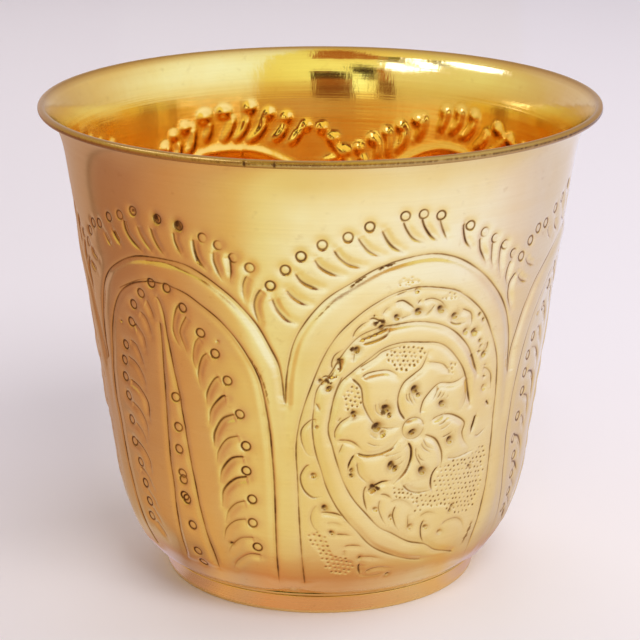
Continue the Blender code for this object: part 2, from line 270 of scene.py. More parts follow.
# Strokes of the flower and of the ground round it, with their strengths. The petals' edges come first.
FLOWER_STROKES = [
    ([(7.2, 97.6), (9.5, 93.6), (10.3, 87), (12.7, 80.4), (15.2, 78), (19.3, 77.8)], 0.9),
    ([(9.4, 97.6), (11.3, 99.2), (15, 99.8), (17.2, 98.6), (18.7, 96.6)], 0.7),
    ([(20.9, 80), (19.2, 84), (18.7, 89), (19.8, 94), (22.5, 97.3), (24.3, 99.6), (25.6, 104.8)], 1.0),
    ([(25.5, 101.2), (29.4, 99.6), (31, 97.6), (32.3, 94.8)], 0.6),
    ([(24.8, 81.4), (24.8, 84), (25.8, 87.6), (29.2, 92), (32.5, 91.5), (34.5, 91.8), (37.8, 93.8)], 0.8),
    ([(37.3, 92.4), (38.1, 87), (37.5, 82.8), (36.2, 79.8)], 0.4),
    ([(27.8, 78.5), (30.3, 79.8), (33.9, 79.2), (38.1, 75.2), (37.9, 71), (38.9, 67.6), (41, 64.2)], 0.8),
    ([(33.5, 62.6), (36.4, 61.8), (39.8, 62.3), (42.8, 63)], 0.6),
    ([(26.3, 73.6), (29.6, 71), (31.6, 66.5), (32.2, 62.5), (32, 59.2)], 0.9),
    ([(31.2, 60), (29.9, 57.4), (29.6, 54), (30.4, 49.8)], 1.6),
    ([(21.2, 55.3), (23.3, 52.4), (26.2, 51), (29.8, 51.2)], 0.9),
    ([(22, 71.6), (23.1, 68.5), (23.1, 64.2), (21.7, 60), (18.8, 55.9)], 1.3),
    ([(9, 65.7), (9.6, 61.2), (10.9, 58.7), (12.5, 57)], 0.8),
    ([(11.8, 53.8), (13.4, 55.4), (15.4, 57.1), (17.7, 57.6)], 1.2),
    ([(8.8, 69), (11.5, 67.9), (15, 68.3), (17.8, 70), (19.6, 73.6)], 0.8),
    ([(3.8, 74.3), (7, 73.9), (8.8, 72.4), (10.4, 70.2)], 0.8),
    ([(3.6, 74.4), (3.5, 77.5), (4.7, 80.8), (7, 83.2), (9.3, 84.6)], 0.7),
    ([(3.9, 80.8), (5, 83.2)], 0.6),
    ([(5.6, 73.2), (4.7, 70), (4.4, 68.6)], 0.6),
    ([(8.4, 68.7), (7.3, 65.6), (6.8, 62.6)], 1.3),
    # Medallion band: second lines and dark passes.
    ([(8.6, 111.2), (11.6, 112.8), (14.4, 114.6), (15.6, 116.4)], 0.9),
    ([(9.4, 109.9), (12.4, 111), (14.9, 113), (15.7, 115.6)], 0.9),
    ([(8.8, 101), (12.5, 104.4), (14.7, 106.8), (19.3, 108.4)], 0.8),
    ([(5.2, 98.6), (3.4, 91.6), (2.2, 82), (1.6, 73.4)], 0.7),
    ([(38, 101.2), (39.3, 97.2), (40.8, 92.4)], 1.4),
    ([(37.5, 92), (38.4, 87.2), (39.5, 81.2)], 1.3),
    # Small leaves in the bottom of the medallion.
    ([(11.8, 56.5), (11.1, 54), (11.2, 50.8), (12.1, 46.4)], 1.0),
    ([(15.2, 52.6), (17, 52), (18.8, 50.1)], 0.7),
    ([(15.4, 50.5), (15.2, 46.8), (16.3, 42.7), (17.5, 40.1)], 0.7),
    ([(19.8, 47.4), (19.2, 43.8), (20, 39.8), (21.3, 37)], 0.7),
    ([(23.5, 43.5), (23.9, 38.6), (25, 35.7)], 0.6),
    ([(17.9, 48.7), (20, 49.6), (22.7, 48.3), (24.7, 45.5), (25.4, 42.9)], 0.3),
    ([(28.6, 39.8), (28, 36.6), (28.3, 33), (29.6, 29.8)], 0.9),
    ([(26.9, 41.3), (29.4, 42.4), (32.8, 40.9)], 0.4),
    ([(34.4, 35.9), (36.3, 37.1), (39.6, 36.9), (42.1, 34.6), (43.5, 30.9)], 0.6),
    # Scallops between the medallion and the arch.
    ([(0, 97.6), (1.1, 98.5), (2.4, 98.3), (3.3, 100.6)], 0.8),
    ([(2.8, 100.8), (2.6, 103.4), (3.4, 106.4), (5.6, 108.8)], 0.7),
    ([(7.1, 112), (7.9, 115), (9.5, 117.4), (10.9, 118.3)], 0.7),
    ([(10.6, 118.8), (12, 119.1), (14, 117.4)], 1.0),
    ([(12, 120.8), (12, 119.3)], 0.9),
    ([(13.7, 120), (14.5, 122), (15.6, 123.2)], 0.6),
    ([(16.5, 124.4), (18.4, 124.8), (20.4, 122.8), (21.8, 120.6)], 0.9),
    ([(21.8, 122.6), (22.9, 124.8)], 0.8),
    ([(17.7, 118.2), (19.3, 118.8), (21, 119.6)], 0.5),
    ([(23.2, 124), (25.5, 124.4), (28, 122.6), (29.3, 120), (29.6, 118.2)], 0.6),
    ([(26.6, 122.2), (25.5, 120.2), (23.5, 118)], 0.6),
    ([(30.4, 114.8), (32.6, 113.4), (35.5, 113.4)], 0.6),
    ([(33.6, 118.9), (36.4, 116.5), (37, 113), (36.5, 110.4)], 0.8),
    ([(36.9, 109.1), (39.7, 108.7)], 1.2),
    ([(39.6, 101.2), (41.2, 100.8)], 1.0),
    ([(42.8, 104.4), (42.9, 102), (42.2, 99.6)], 0.8),
    ([(42.3, 95.4), (43.8, 94.9)], 0.8),
    ([(42.1, 94.2), (43.9, 93.4), (45.6, 90.4), (46.1, 85)], 0.7),
    ([(42.3, 91), (43.9, 90.6)], 0.8),
    ([(45, 81.2), (46.4, 78.8)], 1.0),
    ([(42.2, 76.8), (41.6, 73.4), (40.8, 69.6)], 1.3),
    ([(42.1, 68.7), (43.8, 68.2), (46.4, 70.5)], 0.5),
    ([(7.8, 107.2), (7.5, 103.2)], 0.6),
    ([(3.6, 99.2), (3.8, 97.8)], 0.9),
    ([(4.3, 105.2), (4.6, 101.4), (4.2, 99.8)], 1.1),
    ([(-0.7, 82.3), (-2.5, 81.8), (-4.5, 78.4), (-4.5, 74), (-3.3, 69.6), (-1.6, 68.2)], 0.7),
    ([(-1.2, 88.8), (0.1, 85.4)], 0.7),
    ([(-2.5, 65.3), (-3.9, 63.8), (-5, 60), (-4.2, 55.4), (-2, 52.5), (0.3, 52.7)], 0.9),
    ([(-0.7, 49.6), (-2, 47.4), (-2.5, 44), (-1.6, 40.4), (0.4, 38.5)], 0.5),
    ([(-0.2, 46.4), (1.8, 46.4), (4.2, 45.8), (6.1, 44.4)], 0.9),
    ([(1.3, 42), (3.6, 42.3), (6.1, 41.1)], 0.4),
    ([(3.8, 37.6), (6.1, 37.4), (8.3, 36.9)], 0.6),
    ([(6.1, 32.4), (8.6, 32.7), (11.5, 32)], 0.5),
    ([(6.6, 31.3), (6.4, 27.6)], 0.4),
    ([(11, 24.6), (10.9, 22.2), (11.6, 19.4)], 1.3),
    ([(12.9, 20.1), (14.3, 21.4), (17, 22), (20.9, 21.1)], 0.8),
    ([(10.6, 27.4), (13.8, 27.2), (17.4, 25.9)], 0.4),
    ([(11.8, 18.7), (16, 18.5), (19.3, 19.4)], 0.4),
]

# Outlines of the petals, which are raised.
PETALS = [
    [(19.3, 77.8), (15.2, 78), (12.7, 80.4), (10.3, 87), (9.5, 93.6), (7.6, 97.4), (11.3, 99.2), (15, 99.8),
     (17.2, 98.6), (18.9, 95), (18.8, 88), (20.7, 80)],
    [(20.9, 80), (18.8, 88), (20, 94.6), (24.3, 99.6), (25.6, 104), (29.4, 99.6), (32.3, 94.8), (29.2, 92),
     (25.8, 87.6), (24.8, 81.4)],
    [(24.8, 81.4), (25.8, 87.6), (29.2, 92), (33, 91.4), (37.5, 93.4), (38.1, 87), (36.2, 79.8), (32.3, 81.6),
     (27.8, 78.6)],
    [(27.8, 78), (30.3, 79.8), (33.9, 79.2), (38.1, 75.2), (37.9, 71), (41, 64.2), (36.4, 61.8), (32.2, 62.5),
     (31.6, 66.5), (27.8, 72)],
    [(26.3, 73), (29.6, 71), (31.6, 66.5), (32.2, 61), (29.9, 57), (30.4, 50), (26.2, 51), (22.5, 53),
     (21, 56), (22.6, 62), (23.1, 67), (22.3, 71)],
    [(22, 71.6), (23.1, 67), (22.4, 61.5), (18.8, 55.9), (15.4, 57.1), (12.5, 57), (9.6, 61.2), (8.8, 68.4),
     (11.5, 67.9), (15, 68.3), (19.6, 73.6)],
    [(19.6, 73.6), (15, 68.3), (11.5, 67.9), (8.8, 71.5), (3.8, 74.3), (3.7, 77.5), (7, 83.2), (11, 83.6),
     (12.7, 80.4), (15.2, 78), (19.3, 77.8)],
]

# Shading strokes on the petals, fanned from each petal's dimple.
HATCHES = [
    [(13, 88), (13.4, 84.6), (15.2, 82.2)], [(13.9, 88.4), (14.2, 85.6), (15.4, 83.4)],
    [(14.9, 87.6), (15, 85.6), (16.2, 83.8)], [(15.8, 89.2), (15.3, 87.6)],
    [(20.6, 90.8), (20.8, 88.4), (21.8, 86.4)], [(21.3, 91.2), (21.5, 88.6), (22.7, 85.6)],
    [(22.2, 90.6), (22.6, 88), (23.4, 86)],
    [(29.1, 91.6), (28.6, 88.6), (27.5, 86)], [(30, 89.6), (29.5, 87.8), (28.7, 86.4)],
    [(31, 88.8), (30.4, 87.2), (29.6, 86)], [(32.3, 87.6), (31.6, 85.8)],
    [(29.8, 76.4), (31.2, 76.9), (32.5, 78.4)], [(30.3, 74.4), (32, 75), (33.7, 76.4)],
    [(31, 71.2), (33, 71.8), (34.6, 73)], [(29, 78), (30.6, 78.7), (32.3, 81.4)],
    [(24.2, 69.4), (24.6, 65.3), (26.6, 60.5)], [(24.8, 66.8), (25.6, 64.6), (27.1, 63.1)],
    [(25.5, 70.9), (26.4, 68.4), (28.7, 65.9)], [(26, 72), (27.3, 68.9), (29.4, 67.2)],
    [(18.1, 65), (19.3, 65.6), (20.6, 66.8)], [(19.3, 62.7), (20.3, 63.8), (21.3, 65.1)],
    [(15.6, 67.7), (17.9, 67.5), (20.6, 68.6)],
    [(11.8, 76.8), (12.8, 75.4), (14.3, 74.4)], [(11.1, 73.4), (12.9, 72), (15, 71.6)],
    [(9, 112.4), (10.2, 111)], [(10.4, 113.4), (11.6, 111.6)], [(11.8, 114.2), (12.9, 112.4)],
    [(12.6, 54.2), (13.6, 56)], [(13.6, 54.9), (14.6, 56.8)],
]

# Dimples as (angle, height, radius, darkness).
DIMPLES = [
    (15.7, 85.4, 1.25, 1.0), (22.6, 91.6, 1.15, 1.0), (23.7, 89.4, 0.7, 0.8), (30.5, 84.4, 1.1, 0.8),
    (33.9, 69.6, 1.2, 0.75), (26.4, 59.8, 1.3, 0.9), (17.7, 63.6, 1.2, 1.0), (18.9, 62.2, 0.9, 0.9),
    (13.7, 78.7, 1.2, 1.0), (15.2, 76, 1.0, 0.4), (16.6, 82.9, 0.7, 0.8), (7.9, 84.3, 0.9, 0.9),
    (7.7, 62.5, 0.8, 0.7), (7.7, 60.7, 0.6, 0.9), (13.4, 55.3, 1.2, 1.0), (14.3, 46.7, 0.9, 0.4),
    (18.6, 42.9, 0.9, 0.4), (24.5, 37.7, 0.9, 0.4), (29.4, 36.4, 0.9, 0.5), (34.4, 32.9, 1.0, 0.35),
    (8.2, 108, 1.0, 0.9), (13.8, 115.6, 1.0, 1.0), (17.2, 119, 0.9, 0.8), (22.3, 120.4, 1.0, 0.9),
    (28, 120, 1.2, 0.8), (31.9, 116.6, 1.1, 0.7), (35.5, 109.9, 1.0, 0.5), (38.3, 109, 1.0, 0.6),
    (39, 115.4, 0.5, 0.9), (40.4, 113, 0.5, 0.8), (40.2, 105.2, 0.5, 0.8), (40.7, 103, 0.5, 0.6),
    (42.1, 99.6, 1.0, 0.7), (43.6, 86.4, 1.0, 0.3), (0.1, 96.6, 0.9, 0.7), (2, 94, 0.9, 0.9),
    (4.4, 104, 0.8, 0.9), (-1.75, 60.9, 0.9, 0.5), (1, 48.3, 1.0, 0.8), (2.9, 38.3, 0.8, 0.7),
    (20.1, 18.1, 0.7, 0.8), (10.9, 27, 0.7, 0.7), (21.6, 128.2, 0.9, 0.35), (-0.95, 79.6, 0.5, 0.6),
    (22.8, 75.3, 1.15, 1.0), (-54.6, 107.4, 0.6, 0.6), (-44.4, 151, 0.9, 0.6), (-37.6, 150.1, 1.2, 1.2),
    (-31.9, 149, 1.3, 1.2), (-24, 109, 0.5, 0.4), (36.8, 41, 0.6, 0.8),
    (37.4, 42.6, 0.6, 0.9), (41.8, 56.8, 0.6, 0.9), (-24.9, 30.8, 0.6, 1.0),
]

# Brown stains left in the chased lines: path, width and darkness.
STAINS = [
    ([(6.2, 130.4), (8.2, 132.9), (10.2, 134.9)], 0.55, 0.75),
    ([(12.2, 136.5), (14.2, 137.8), (16.6, 138.5)], 0.6, 0.85),
    ([(-1.6, 118.5), (1.2, 123.2), (3.6, 127)], 0.35, 0.4),
    ([(11.6, 116.6), (13.4, 118), (14.9, 117)], 0.9, 0.8),
    ([(6.8, 107.6), (7.6, 109)], 0.8, 0.9),
    ([(3.6, 102.6), (5.4, 105)], 0.6, 0.6),
    ([(0.9, 97.6), (2.7, 95.4)], 0.9, 0.75),
    ([(14.4, 84.6), (15.8, 83.6)], 1.1, 0.7),
    ([(12.2, 79.2), (14.2, 78)], 1.0, 0.7),
    ([(12.6, 56.4), (15.4, 54.2)], 0.7, 0.9),
    ([(17.6, 64.2), (19.2, 62.4)], 0.9, 0.6),
    ([(22.4, 92), (23.6, 90)], 1.0, 0.5),
    ([(-17.2, 107), (-13.6, 97), (-11.8, 86)], 0.45, 0.4),
    ([(46.4, 34), (45.4, 28), (44.6, 24)], 0.8, 0.5),
    ([(-32.5, 151), (-30.6, 147.6)], 1.2, 0.6),
    ([(-38.4, 151.6), (-36.6, 149)], 1.1, 0.6),
]

# Stippled grounds: outline, spacing of the punch marks, and darkness.
STIPPLES = [
    ([(15, 103.5), (17, 107.5), (24, 107), (24.6, 103), (22.5, 99.4), (18.6, 98.2), (17.4, 100.6)],
     1.75, 0.8),
    ([(5.2, 87), (6, 93), (7.6, 96), (9.2, 92.5), (9.8, 88), (8.8, 86), (6, 85.2)], 1.75, 0.8),
    ([(31.6, 58.6), (33.5, 61), (41, 61.2), (47, 63.5), (47.4, 50), (45.5, 40), (40, 38.6), (35, 42.4),
      (29, 43.6), (25.6, 43.6), (26, 49.4), (31, 49.2), (30.6, 54)], 2.05, 0.75),
    ([(18.6, 54.4), (20.4, 54.8), (22.6, 51.8), (25.6, 49.6), (25.8, 46), (22, 50), (19, 50)], 1.75, 0.7),
    ([(-2.8, 38.6), (0.4, 38), (2, 34), (4.4, 28.4), (9.2, 26), (8.9, 20.6), (3.4, 20.6), (-0.4, 29),
      (-2.4, 33)], 2.0, 0.6),
    ([(27.4, 124.2), (30.4, 126), (31.6, 123.4), (30, 122.6)], 1.6, 0.4),
    ([(31.4, 99.8), (33.6, 99), (33, 95.6), (31.8, 94.8)], 1.7, 0.5),
    ([(17, 130.6), (17.4, 133), (21.6, 132.8), (21.2, 130.6)], 1.6, 0.25),
]


class Relief:
    """Chased heights of the wall, and its patina with some painted shade, on rows up its outer face and
    columns round the axis.
    """

    REF_R = 82.0  # radius at which angles are turned into millimetres to shape a curve

    def __init__(self, s, r, z):
        self.s, self.r, self.z = s, r, z
        self.step = 2 * math.pi / COLUMNS
        self.height = np.zeros((len(s), COLUMNS))
        self.back = np.zeros((len(s), COLUMNS))  # the same marks as they stand out on the inner face
        self.patina_and_shade = np.zeros((len(s), COLUMNS))
        self.rng = np.random.default_rng(SEED)

    def trail(self, points, warp, closed=False, spacing=TRAIL_STEP):
        """Close-set points on the curve through (angle, height) ones.

        Each is an angle in radians and a distance up the face.
        """
        moved = [warp(a, z) for a, z in points]
        flat = [(math.radians(a) * self.REF_R, np.interp(z, self.z, self.s)) for a, z in moved]
        return smooth_path(flat, spacing, closed) / (self.REF_R, 1.0)

    def window(self, a, s, reach):
        """Rows and unwrapped columns within reach of some points."""
        i0, i1 = np.searchsorted(self.s, (s.min() - reach, s.max() + reach))
        i1 = max(i1, i0 + 1)
        r = self.r[min(i0, len(self.r) - 1):i1].min()
        j0 = math.floor((a.min() - reach / r) / self.step)
        j1 = math.ceil((a.max() + reach / r) / self.step) + 1
        return i0, min(i1, len(self.s)), j0, j1

    def near(self, trail, reach):
        """A window round the trail, and for each cell in it three values.

        They are the distance to the trail, how much of it is to the left, and how far along it, from 0 to 1.
        """
        i0, i1, j0, j1 = self.window(trail[:, 0], trail[:, 1], reach)
        far = np.full((i1 - i0, j1 - j0), reach)
        left = np.zeros_like(far)
        along = np.zeros_like(far)
        ahead = np.gradient(trail * (self.REF_R, 1.0), axis=0)
        ahead /= np.hypot(*ahead.T)[:, None]
        run = 22  # points of the trail taken at a time
        for k in range(0, len(trail), run):
            a, s = trail[k:k + run + 1].T
            p0, p1, q0, q1 = self.window(a, s, reach)
            p0, q0 = max(p0, i0), max(q0, j0)
            p1, q1 = min(p1, i1), min(q1, j1)
            if p1 <= p0 or q1 <= q0:
                continue
            across = (np.arange(q0, q1) * self.step - a[:, None]) * self.r[(p0 + p1) // 2]
            up = self.s[p0:p1] - s[:, None]
            square = across[:, None, :] ** 2 + up[:, :, None] ** 2
            nearest = square.argmin(0)
            d = np.sqrt(np.take_along_axis(square, nearest[None], 0)[0])
            part = np.s_[p0 - i0:p1 - i0, q0 - j0:q1 - j0]
            closer = d < far[part]
            far[part][closer] = d[closer]
            x = np.take_along_axis(across[:, None, :] + 0 * square, nearest[None], 0)[0]
            y = np.take_along_axis(up[:, :, None] + 0 * square, nearest[None], 0)[0]
            tx, ty = ahead[nearest + k].transpose(2, 0, 1)
            left[part][closer] = (tx * y - ty * x)[closer]
            along[part][closer] = ((nearest + k) / max(1, len(trail) - 1))[closer]
        return np.s_[i0:i1], np.arange(j0, j1) % COLUMNS, far, left, along

    def inside(self, trail, rows, columns_from, count):
        """Which cells of a window lie inside the closed trail."""
        result = np.zeros((len(self.s[rows]), count), bool)
        a, s = trail.T
        a2, s2 = np.roll(a, -1), np.roll(s, -1)
        angles = (columns_from + np.arange(count)) * self.step
        for i, level in enumerate(self.s[rows]):
            crossing = (s <= level) != (s2 <= level)
            if crossing.any():
                t = (level - s[crossing]) / (s2[crossing] - s[crossing])
                cuts = np.sort(a[crossing] + t * (a2[crossing] - a[crossing]))
                result[i] = np.searchsorted(cuts, angles) % 2 == 1
        return result

    def add(self, rows, columns, height, back, patina_and_shade=None):
        """Adds heights to the two faces, and keeps the darker patina or painted shade."""
        self.height[rows, columns] += height
        self.back[rows, columns] += back
        if patina_and_shade is not None:
            self.patina_and_shade[rows, columns] = np.maximum(self.patina_and_shade[rows, columns], patina_and_shade)

    def groove(self, points, strength, warp, shoulder=0.45, spread=1.5, fade=0.35, width=0.33, ridge=0.55):
        """A line struck with the liner: a narrow dark groove beside a soft hollow, on its bend's inner side.

        The groove thins out over the last part of its length, set by fade.
        """
        trail = self.trail(points, warp)
        rows, columns, far, left, along = self.near(trail, 3 * spread)
        length = len(trail) * TRAIL_STEP
        ease = min(0.5, 1.2 / length)
        press = np.clip(along / ease, 0.25, 1) * np.clip((1 - along) / max(fade, ease), 0.1, 1) ** 0.7
        press = press * (1 + 0.12 * np.sin(along * length * 0.5 + self.rng.uniform(0, 6.3)))
        shade = 0.86 + 0.22 * np.sin(along * length * 0.23 + self.rng.uniform(0, 6.3))
        shade = np.clip(0.8 * strength, 0, 1) * shade
        core = np.exp(-((far / (width * (0.6 + 0.4 * strength) * (0.75 + 0.25 * press))) ** 2)) * press
        lean = bend_side(trail * (self.REF_R, 1.0)) * 0.5 * spread
        beside = far**2 - 2 * lean * left + lean**2
        hollow = np.exp(-beside / spread**2) * np.clip(press, 0.35, 1)
        raised = -strength * ridge * np.exp(-beside / (1.15 * spread) ** 2) * np.clip(press, 0.25, 1)
        # Brown tone round each line, partly patina and partly painted shade beside the stroke.
        patina_and_shade_halo = 0.11 * np.exp(-((far / 1.2) ** 2)) * press
        depth = -strength * (LINE_DEPTH * core + shoulder * hollow)
        self.add(rows, columns, depth, raised, np.maximum(core * shade, patina_and_shade_halo))

    def finger(self, points, warp, height=0.65, width=1.45):
        """The ridge a stroke raises on the inner face, run on from its ring mark."""
        trail = self.trail(points, warp)
        rows, columns, far, _, along = self.near(trail, 2.6 * width)
        press = np.clip(along / 0.35, 0.1, 1) * np.clip((1 - along) / 0.4, 0.1, 1)
        self.add(rows, columns, 0, -height * np.exp(-((far / width) ** 2)) * press)

    def spot(self, place, reach, warp):
        """A window of cells round a place, with the offsets of each cell from it."""
        a, z = warp(*place)
        a, s = math.radians(a), float(np.interp(z, self.z, self.s))
        return self.spot_at(a, s, reach)

    def spot_at(self, a, s, reach):
        """The same round an angle in radians and a distance up the face."""
        i0, i1, j0, j1 = self.window(np.array([a]), np.array([s]), reach)
        x = (np.arange(j0, j1) * self.step - a) * np.interp(s, self.s, self.r)
        y = self.s[i0:i1, None] - s
        return np.s_[i0:i1], np.arange(j0, j1) % COLUMNS, x[None, :], y

    def ring(self, place, tilt, warp, radius=1.62, strength=1.0):
        """A ring punch: a circle, deeper on its left when tilted, that stands out as a boss inside."""
        rows, columns, x, y = self.spot(place, 5.5, warp)
        d = np.hypot(x, y)
        turn = np.cos(np.arctan2(y, x) - self.rng.uniform(2.6, 3.6))
        bite = np.clip(1 - tilt * (0.5 - 0.62 * turn), 0, 1.2) * strength
        line = np.exp(-(((d - radius) / 0.34) ** 2)) * bite
        hollow = np.exp(-((d / 2.5) ** 2))
        crown = np.exp(-((d / 1.0) ** 2))
        self.add(rows, columns, -LINE_DEPTH * line - 0.6 * hollow + 0.2 * crown,
                 -1.0 * np.exp(-((d / 1.9) ** 2)), line * self.rng.uniform(0.7, 1.0))

    def dimple(self, a, z, radius, dark, warp):
        """A blow of a round punch. Its pit holds patina, with painted shade darkening it towards the upper
        left.
        """
        radius = 1.15 * radius
        rows, columns, x, y = self.spot((a, z), radius * 3.2, warp)
        turn = self.rng.uniform(0, 3.14)
        u, v = x * math.cos(turn) + y * math.sin(turn), y * math.cos(turn) - x * math.sin(turn)
        d = np.sqrt((u / radius) ** 2 + (v / (radius * self.rng.uniform(0.62, 0.95))) ** 2)
        pit = np.exp(-(d**4))
        wide = np.exp(-((d / 1.9) ** 2))
        # Painted shade: the pit's patina is made darker towards its upper left side.
        side = np.clip(0.65 + (0.6 * y - 0.4 * x) / radius, 0.35, 1.2)
        self.add(rows, columns, -radius * (0.45 * pit + 0.32 * wide), -0.6 * radius * wide,
                 np.clip(np.maximum(pit * side * dark * 1.15, wide * 0.42 * dark), 0, 1))

    def stain(self, points, width, dark, warp):
        """Dirt left beside a mark, ragged along its length."""
        trail = self.trail(points, warp)
        rows, columns, far, left, along = self.near(trail, 3 * width)
        length = len(trail) * TRAIL_STEP
        ragged = 0.75 + 0.3 * np.sin(along * length * 1.9 + left)
        ragged = width * (ragged + 0.2 * np.sin(along * length * 4.3 + 3 * left))
        ends = np.clip(np.minimum(along, 1 - along) * 5, 0.15, 1)
        self.add(rows, columns, 0, 0, dark * ends * np.exp(-((far / np.maximum(ragged, 0.15)) ** 3)))

    def pillow(self, points, warp, height, softness):
        """Raises or sinks the area inside an outline, rounded at its edge."""
        trail = self.trail(points, warp, closed=True, spacing=OUTLINE_STEP)
        rows, columns, far, _, _ = self.near(trail, 2.6 * softness)
        j0 = self.window(trail[:, 0], trail[:, 1], 2.6 * softness)[2]
        mask = self.inside(trail, rows, j0, len(columns))
        lift = np.where(mask, height * (1 - np.exp(-((far / softness) ** 2))), 0)
        self.add(rows, columns, lift, lift)

    def stipple(self, points, warp, spacing, dark):
        """Sinks an area and fills it with rows of small punch marks."""
        self.pillow(points, warp, -0.28, 1.1)
        outline = self.trail(points, warp, closed=True, spacing=OUTLINE_STEP)
        mm = outline * (self.REF_R, 1.0)
        low, high = mm.min(0), mm.max(0)
        lean = math.radians(self.rng.uniform(-14, -6))
        reach = float(np.hypot(*(high - low)))
        centre = (low + high) / 2
        rows = np.arange(-reach / 2, reach / 2, spacing * 0.92)
        for k, v in enumerate(rows):
            for u in np.arange(-reach / 2, reach / 2, spacing) + spacing / 2 * (k % 2):
                x = centre[0] + u * math.cos(lean) - v * math.sin(lean) + self.rng.normal(0, 0.17)
                y = centre[1] + u * math.sin(lean) + v * math.cos(lean) + self.rng.normal(0, 0.17)
                if in_outline(x, y, mm):
                    self.punch(x / self.REF_R, y, 0.44, dark * self.rng.uniform(0.35, 0.95))

    def punch(self, a, s, radius, dark):
        """One small dot of a stippled ground."""
        rows, columns, x, y = self.spot_at(a, s, radius * 2.4)
        pit = np.exp(-((np.hypot(x, y) / radius) ** 2.6))
        self.add(rows, columns, -0.27 * pit, -0.15 * pit, pit * dark)


def in_outline(x, y, outline):
    """Whether a point lies inside a closed outline."""
    x1, y1 = outline.T
    x2, y2 = np.roll(x1, -1), np.roll(y1, -1)
    crossing = (y1 <= y) != (y2 <= y)
    cuts = x1[crossing] + (y - y1[crossing]) / (y2[crossing] - y1[crossing]) * (x2[crossing] - x1[crossing])
    return np.count_nonzero(cuts < x) % 2 == 1


def hand_warp(shift, rng, amount):
    """Moves a motif round the pot, a little out of true the way hand work is."""
    phase = rng.uniform(0, 2 * math.pi, 4)

    def warp(a, z):
        da = 0.45 * math.sin(z / 19 + phase[0]) + 0.25 * math.sin(z / 7 + phase[1])
        dz = 0.9 * math.sin(math.radians(a) * 5 + phase[2]) + 0.4 * math.sin(math.radians(a) * 11 + phase[3])
        round_back = math.exp(-(((a + shift) % 360 - 195) / 45) ** 2)
        return a + shift + amount * (da + 2.2 * round_back), z + amount * (dz + 4.2 * round_back)

    return warp


def close_down(points, low=12.0):
    """An arch line closed straight down at both feet."""
    return points + [(points[-1][0], low), (points[0][0], low)]


def chase(relief):
    """Chases the whole ornament, the pair of arches that faces the viewer first."""
    rng = np.random.default_rng(SEED + 1)
    arches = ((FLOWER_OUTER, 0.84), (FLOWER_INNER, 0.78), (FERN_OUTER, 1.0), (FERN_INNER, 1.0))
    for k in range(REPEATS):
        warp = hand_warp(k * REPEAT_ANGLE, rng, 0.0 if k == 0 else 1.0)
        raise_bands(relief, warp)
        for line, strength in arches:
            relief.groove(line, strength, warp, shoulder=0.4, spread=1.6, fade=0.03)
        for line in (MEDALLION_OUTER, MEDALLION_INNER):
            relief.groove(line, 0.75, warp, shoulder=0.35, spread=1.3, fade=0.03)
        for line in FERN_STEM:
            relief.groove(line, 0.95, warp, shoulder=0.4, spread=1.5, fade=0.03)
        for line in STRAY_LINES:
            relief.groove(line, 0.6, warp, shoulder=0.1)
        for place in FERN_STEM_RINGS:
            relief.ring(place, 0.25, warp)
        for place, leaflet, strength in FERN_LEAFLETS:
            if place:
                relief.ring(place, 0.2, warp)
            relief.groove(leaflet, strength, warp, width=0.4, shoulder=0.75, spread=1.5)
        for place, tilt, stroke, strength in FRINGE:
            if place:
                relief.ring(place, tilt, warp, strength=0.9)
            relief.groove(stroke, strength, warp, width=0.42, shoulder=0.68, spread=1.45, ridge=0.35)
            relief.finger([place] + stroke if place else stroke, warp)
        for stroke, strength in FLOWER_STROKES:
            relief.groove(stroke, strength, warp, shoulder=0.4, spread=1.2)
        for stroke in HATCHES:
            relief.groove(stroke, 0.6, warp, width=0.32, shoulder=0.2, spread=0.7)
        for a, z, radius, dark in DIMPLES:
            relief.dimple(a, z, radius, dark, warp)
        for path, width, dark in STAINS:
            relief.stain(path, width, dark, warp)
        for outline, spacing, dark in STIPPLES:
            relief.stipple(outline, warp, spacing, dark)
        chase_boss(relief, warp)


def raise_bands(relief, warp):
    """Raises the mouldings between the chased outlines."""
    for outer, inner in ((FLOWER_OUTER, FLOWER_INNER), (FERN_OUTER, FERN_INNER)):
        relief.pillow(close_down(outer), warp, 0.5, 3.0)
        relief.pillow(close_down(inner), warp, -0.5, 3.0)
    relief.pillow(MEDALLION_OUTER + MEDALLION_INNER[::-1], warp, 0.28, 1.7)
    relief.pillow(FERN_STEM[0] + FERN_STEM[1][::-1], warp, 0.32, 1.6)
    for petal in PETALS:
        relief.pillow(petal, warp, 0.42, 2.4)


def chase_boss(relief, warp):
    """The flower's centre: a round boss in a fine circle."""
    a, z = BOSS
    circle = [(a + 2.85 * math.cos(t), z + 4.1 * math.sin(t)) for t in np.linspace(0, 2 * math.pi, 13)[:-1]]
    relief.groove(circle + circle[:1], 0.55, warp, width=0.32, shoulder=0.35, spread=1.0, fade=0.03)
    relief.pillow(circle, warp, 0.5, 1.8)


def settle(relief):
    """Gentle unevenness of hand-worked sheet, fading out in the plain spun band under the rim."""
    rng = np.random.default_rng(SEED + 2)
    angle = np.arange(COLUMNS) * relief.step
    worked = np.clip((150 - relief.z) / 25, 0.12, 1) * np.clip((relief.z - 9) / 8, 0, 1)
    wave = np.zeros_like(relief.height)
    for _ in range(26):
        turns = rng.integers(3, 34)
        tall = rng.uniform(14, 60)
        size = 0.05 * 10 / (8 + turns)
        around = np.sin(turns * angle + rng.uniform(0, 6.3))
        upwards = np.sin(relief.s / tall * 6.3 + rng.uniform(0, 6.3))[:, None]
        wave += size * around * upwards
    relief.height = LIMIT * np.tanh(relief.height / LIMIT) + wave * worked[:, None]
    relief.back = 1.4 * LIMIT * np.tanh(relief.back / (1.4 * LIMIT)) + wave * worked[:, None]


# ---------------------------------------------------------------- the wall

def thinned(path, spacing):
    """The path without the points that come closer to the last kept one than the spacing there."""
    keep = np.ones(len(path), bool)
    gone = 0.0
    for i in range(1, len(path) - 1):
        gone += float(np.hypot(*(path[i] - path[i - 1])))
        keep[i] = gone >= spacing[i]
        if keep[i]:
            gone = 0.0
    return path[keep]


